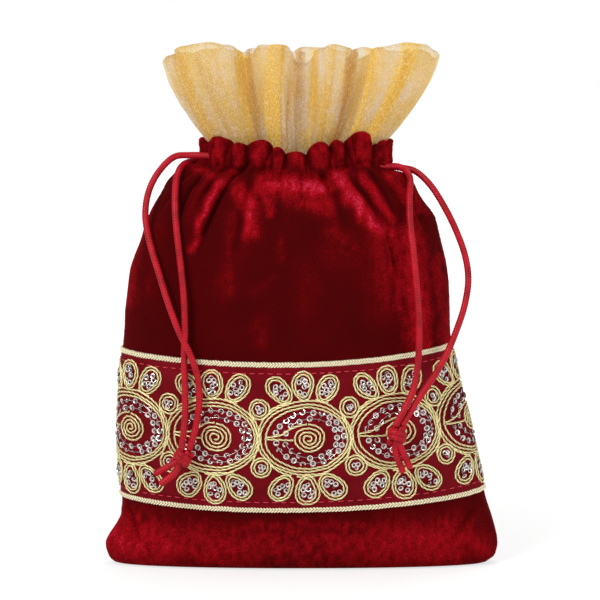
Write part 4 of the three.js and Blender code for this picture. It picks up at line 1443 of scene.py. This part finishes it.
# Matt white paper. Seen straight, it goes over to full white with the distance from the pouch.
paper, tree = start_material("white_paper")
light_path = add_node(tree, "ShaderNodeLightPath")
where = add_node(tree, "ShaderNodeTexCoord")
away = add_node(tree, "ShaderNodeVectorMath", {"operation": "LENGTH"}, {0: where.outputs["Object"]})
matt = add_node(tree, "ShaderNodeBsdfDiffuse", {"Color": linear("#F4F4F4")})
white = add_node(tree, "ShaderNodeEmission", {"Strength": 1.22})
far = add_node(tree, "ShaderNodeMapRange", {1: 0.12, 2: 0.55, 3: 0.55, 4: 1}, {0: away.outputs["Value"]})
seen = add_node(
    tree,
    "ShaderNodeMath",
    {"operation": "MULTIPLY"},
    {0: far.outputs[0], 1: light_path.outputs["Is Camera Ray"]},
)
surface = add_node(
    tree, "ShaderNodeMixShader", (), {0: seen.outputs[0], 1: matt.outputs[0], 2: white.outputs[0]}
)
add_node(tree, "ShaderNodeOutputMaterial", (), {"Surface": surface.outputs[0]})
floor_mesh.materials.append(paper)

# The surround lights the pouch evenly. Seen straight, or through the organza's gaps, it is full white.
world = bpy.data.worlds.new("studio")
bpy.context.scene.world = world
world.use_nodes = True
tree = world.node_tree
tree.nodes.clear()
light_path = add_node(tree, "ShaderNodeLightPath")
straight = add_node(
    tree,
    "ShaderNodeMath",
    {"operation": "MAXIMUM"},
    {0: light_path.outputs["Is Camera Ray"], 1: light_path.outputs["Is Transmission Ray"]},
)
room = add_node(tree, "ShaderNodeBackground", {"Color": (1, 1, 1, 1), "Strength": 0.42})
bright = add_node(tree, "ShaderNodeBackground", {"Color": (1, 1, 1, 1), "Strength": 1})
seen = add_node(
    tree, "ShaderNodeMixShader", (), {0: straight.outputs[0], 1: room.outputs[0], 2: bright.outputs[0]}
)
add_node(tree, "ShaderNodeOutputWorld", (), {"Surface": seen.outputs[0]})


def soft_lamp(name, place, aim, size, power):
    """A square lamp, aimed at a place."""
    data = bpy.data.lights.new(name, "AREA")
    data.shape = "SQUARE"
    data.size = size
    data.energy = power
    lamp = bpy.data.objects.new(name, data)
    lamp.location = place
    lamp.rotation_euler = (Vector(aim) - Vector(place)).to_track_quat("-Z", "Y").to_euler()
    bpy.context.collection.objects.link(lamp)


pouch_middle = (0, 0, 0.12)
soft_lamp("key", (-0.75, -0.95, 0.95), pouch_middle, 0.5, 11)
soft_lamp("fill", (0.95, -0.8, 0.5), pouch_middle, 0.7, 4)
soft_lamp("top", (0.1, 0.25, 1.2), pouch_middle, 0.6, 4)

scene = bpy.context.scene
scene.view_settings.view_transform = "Standard"
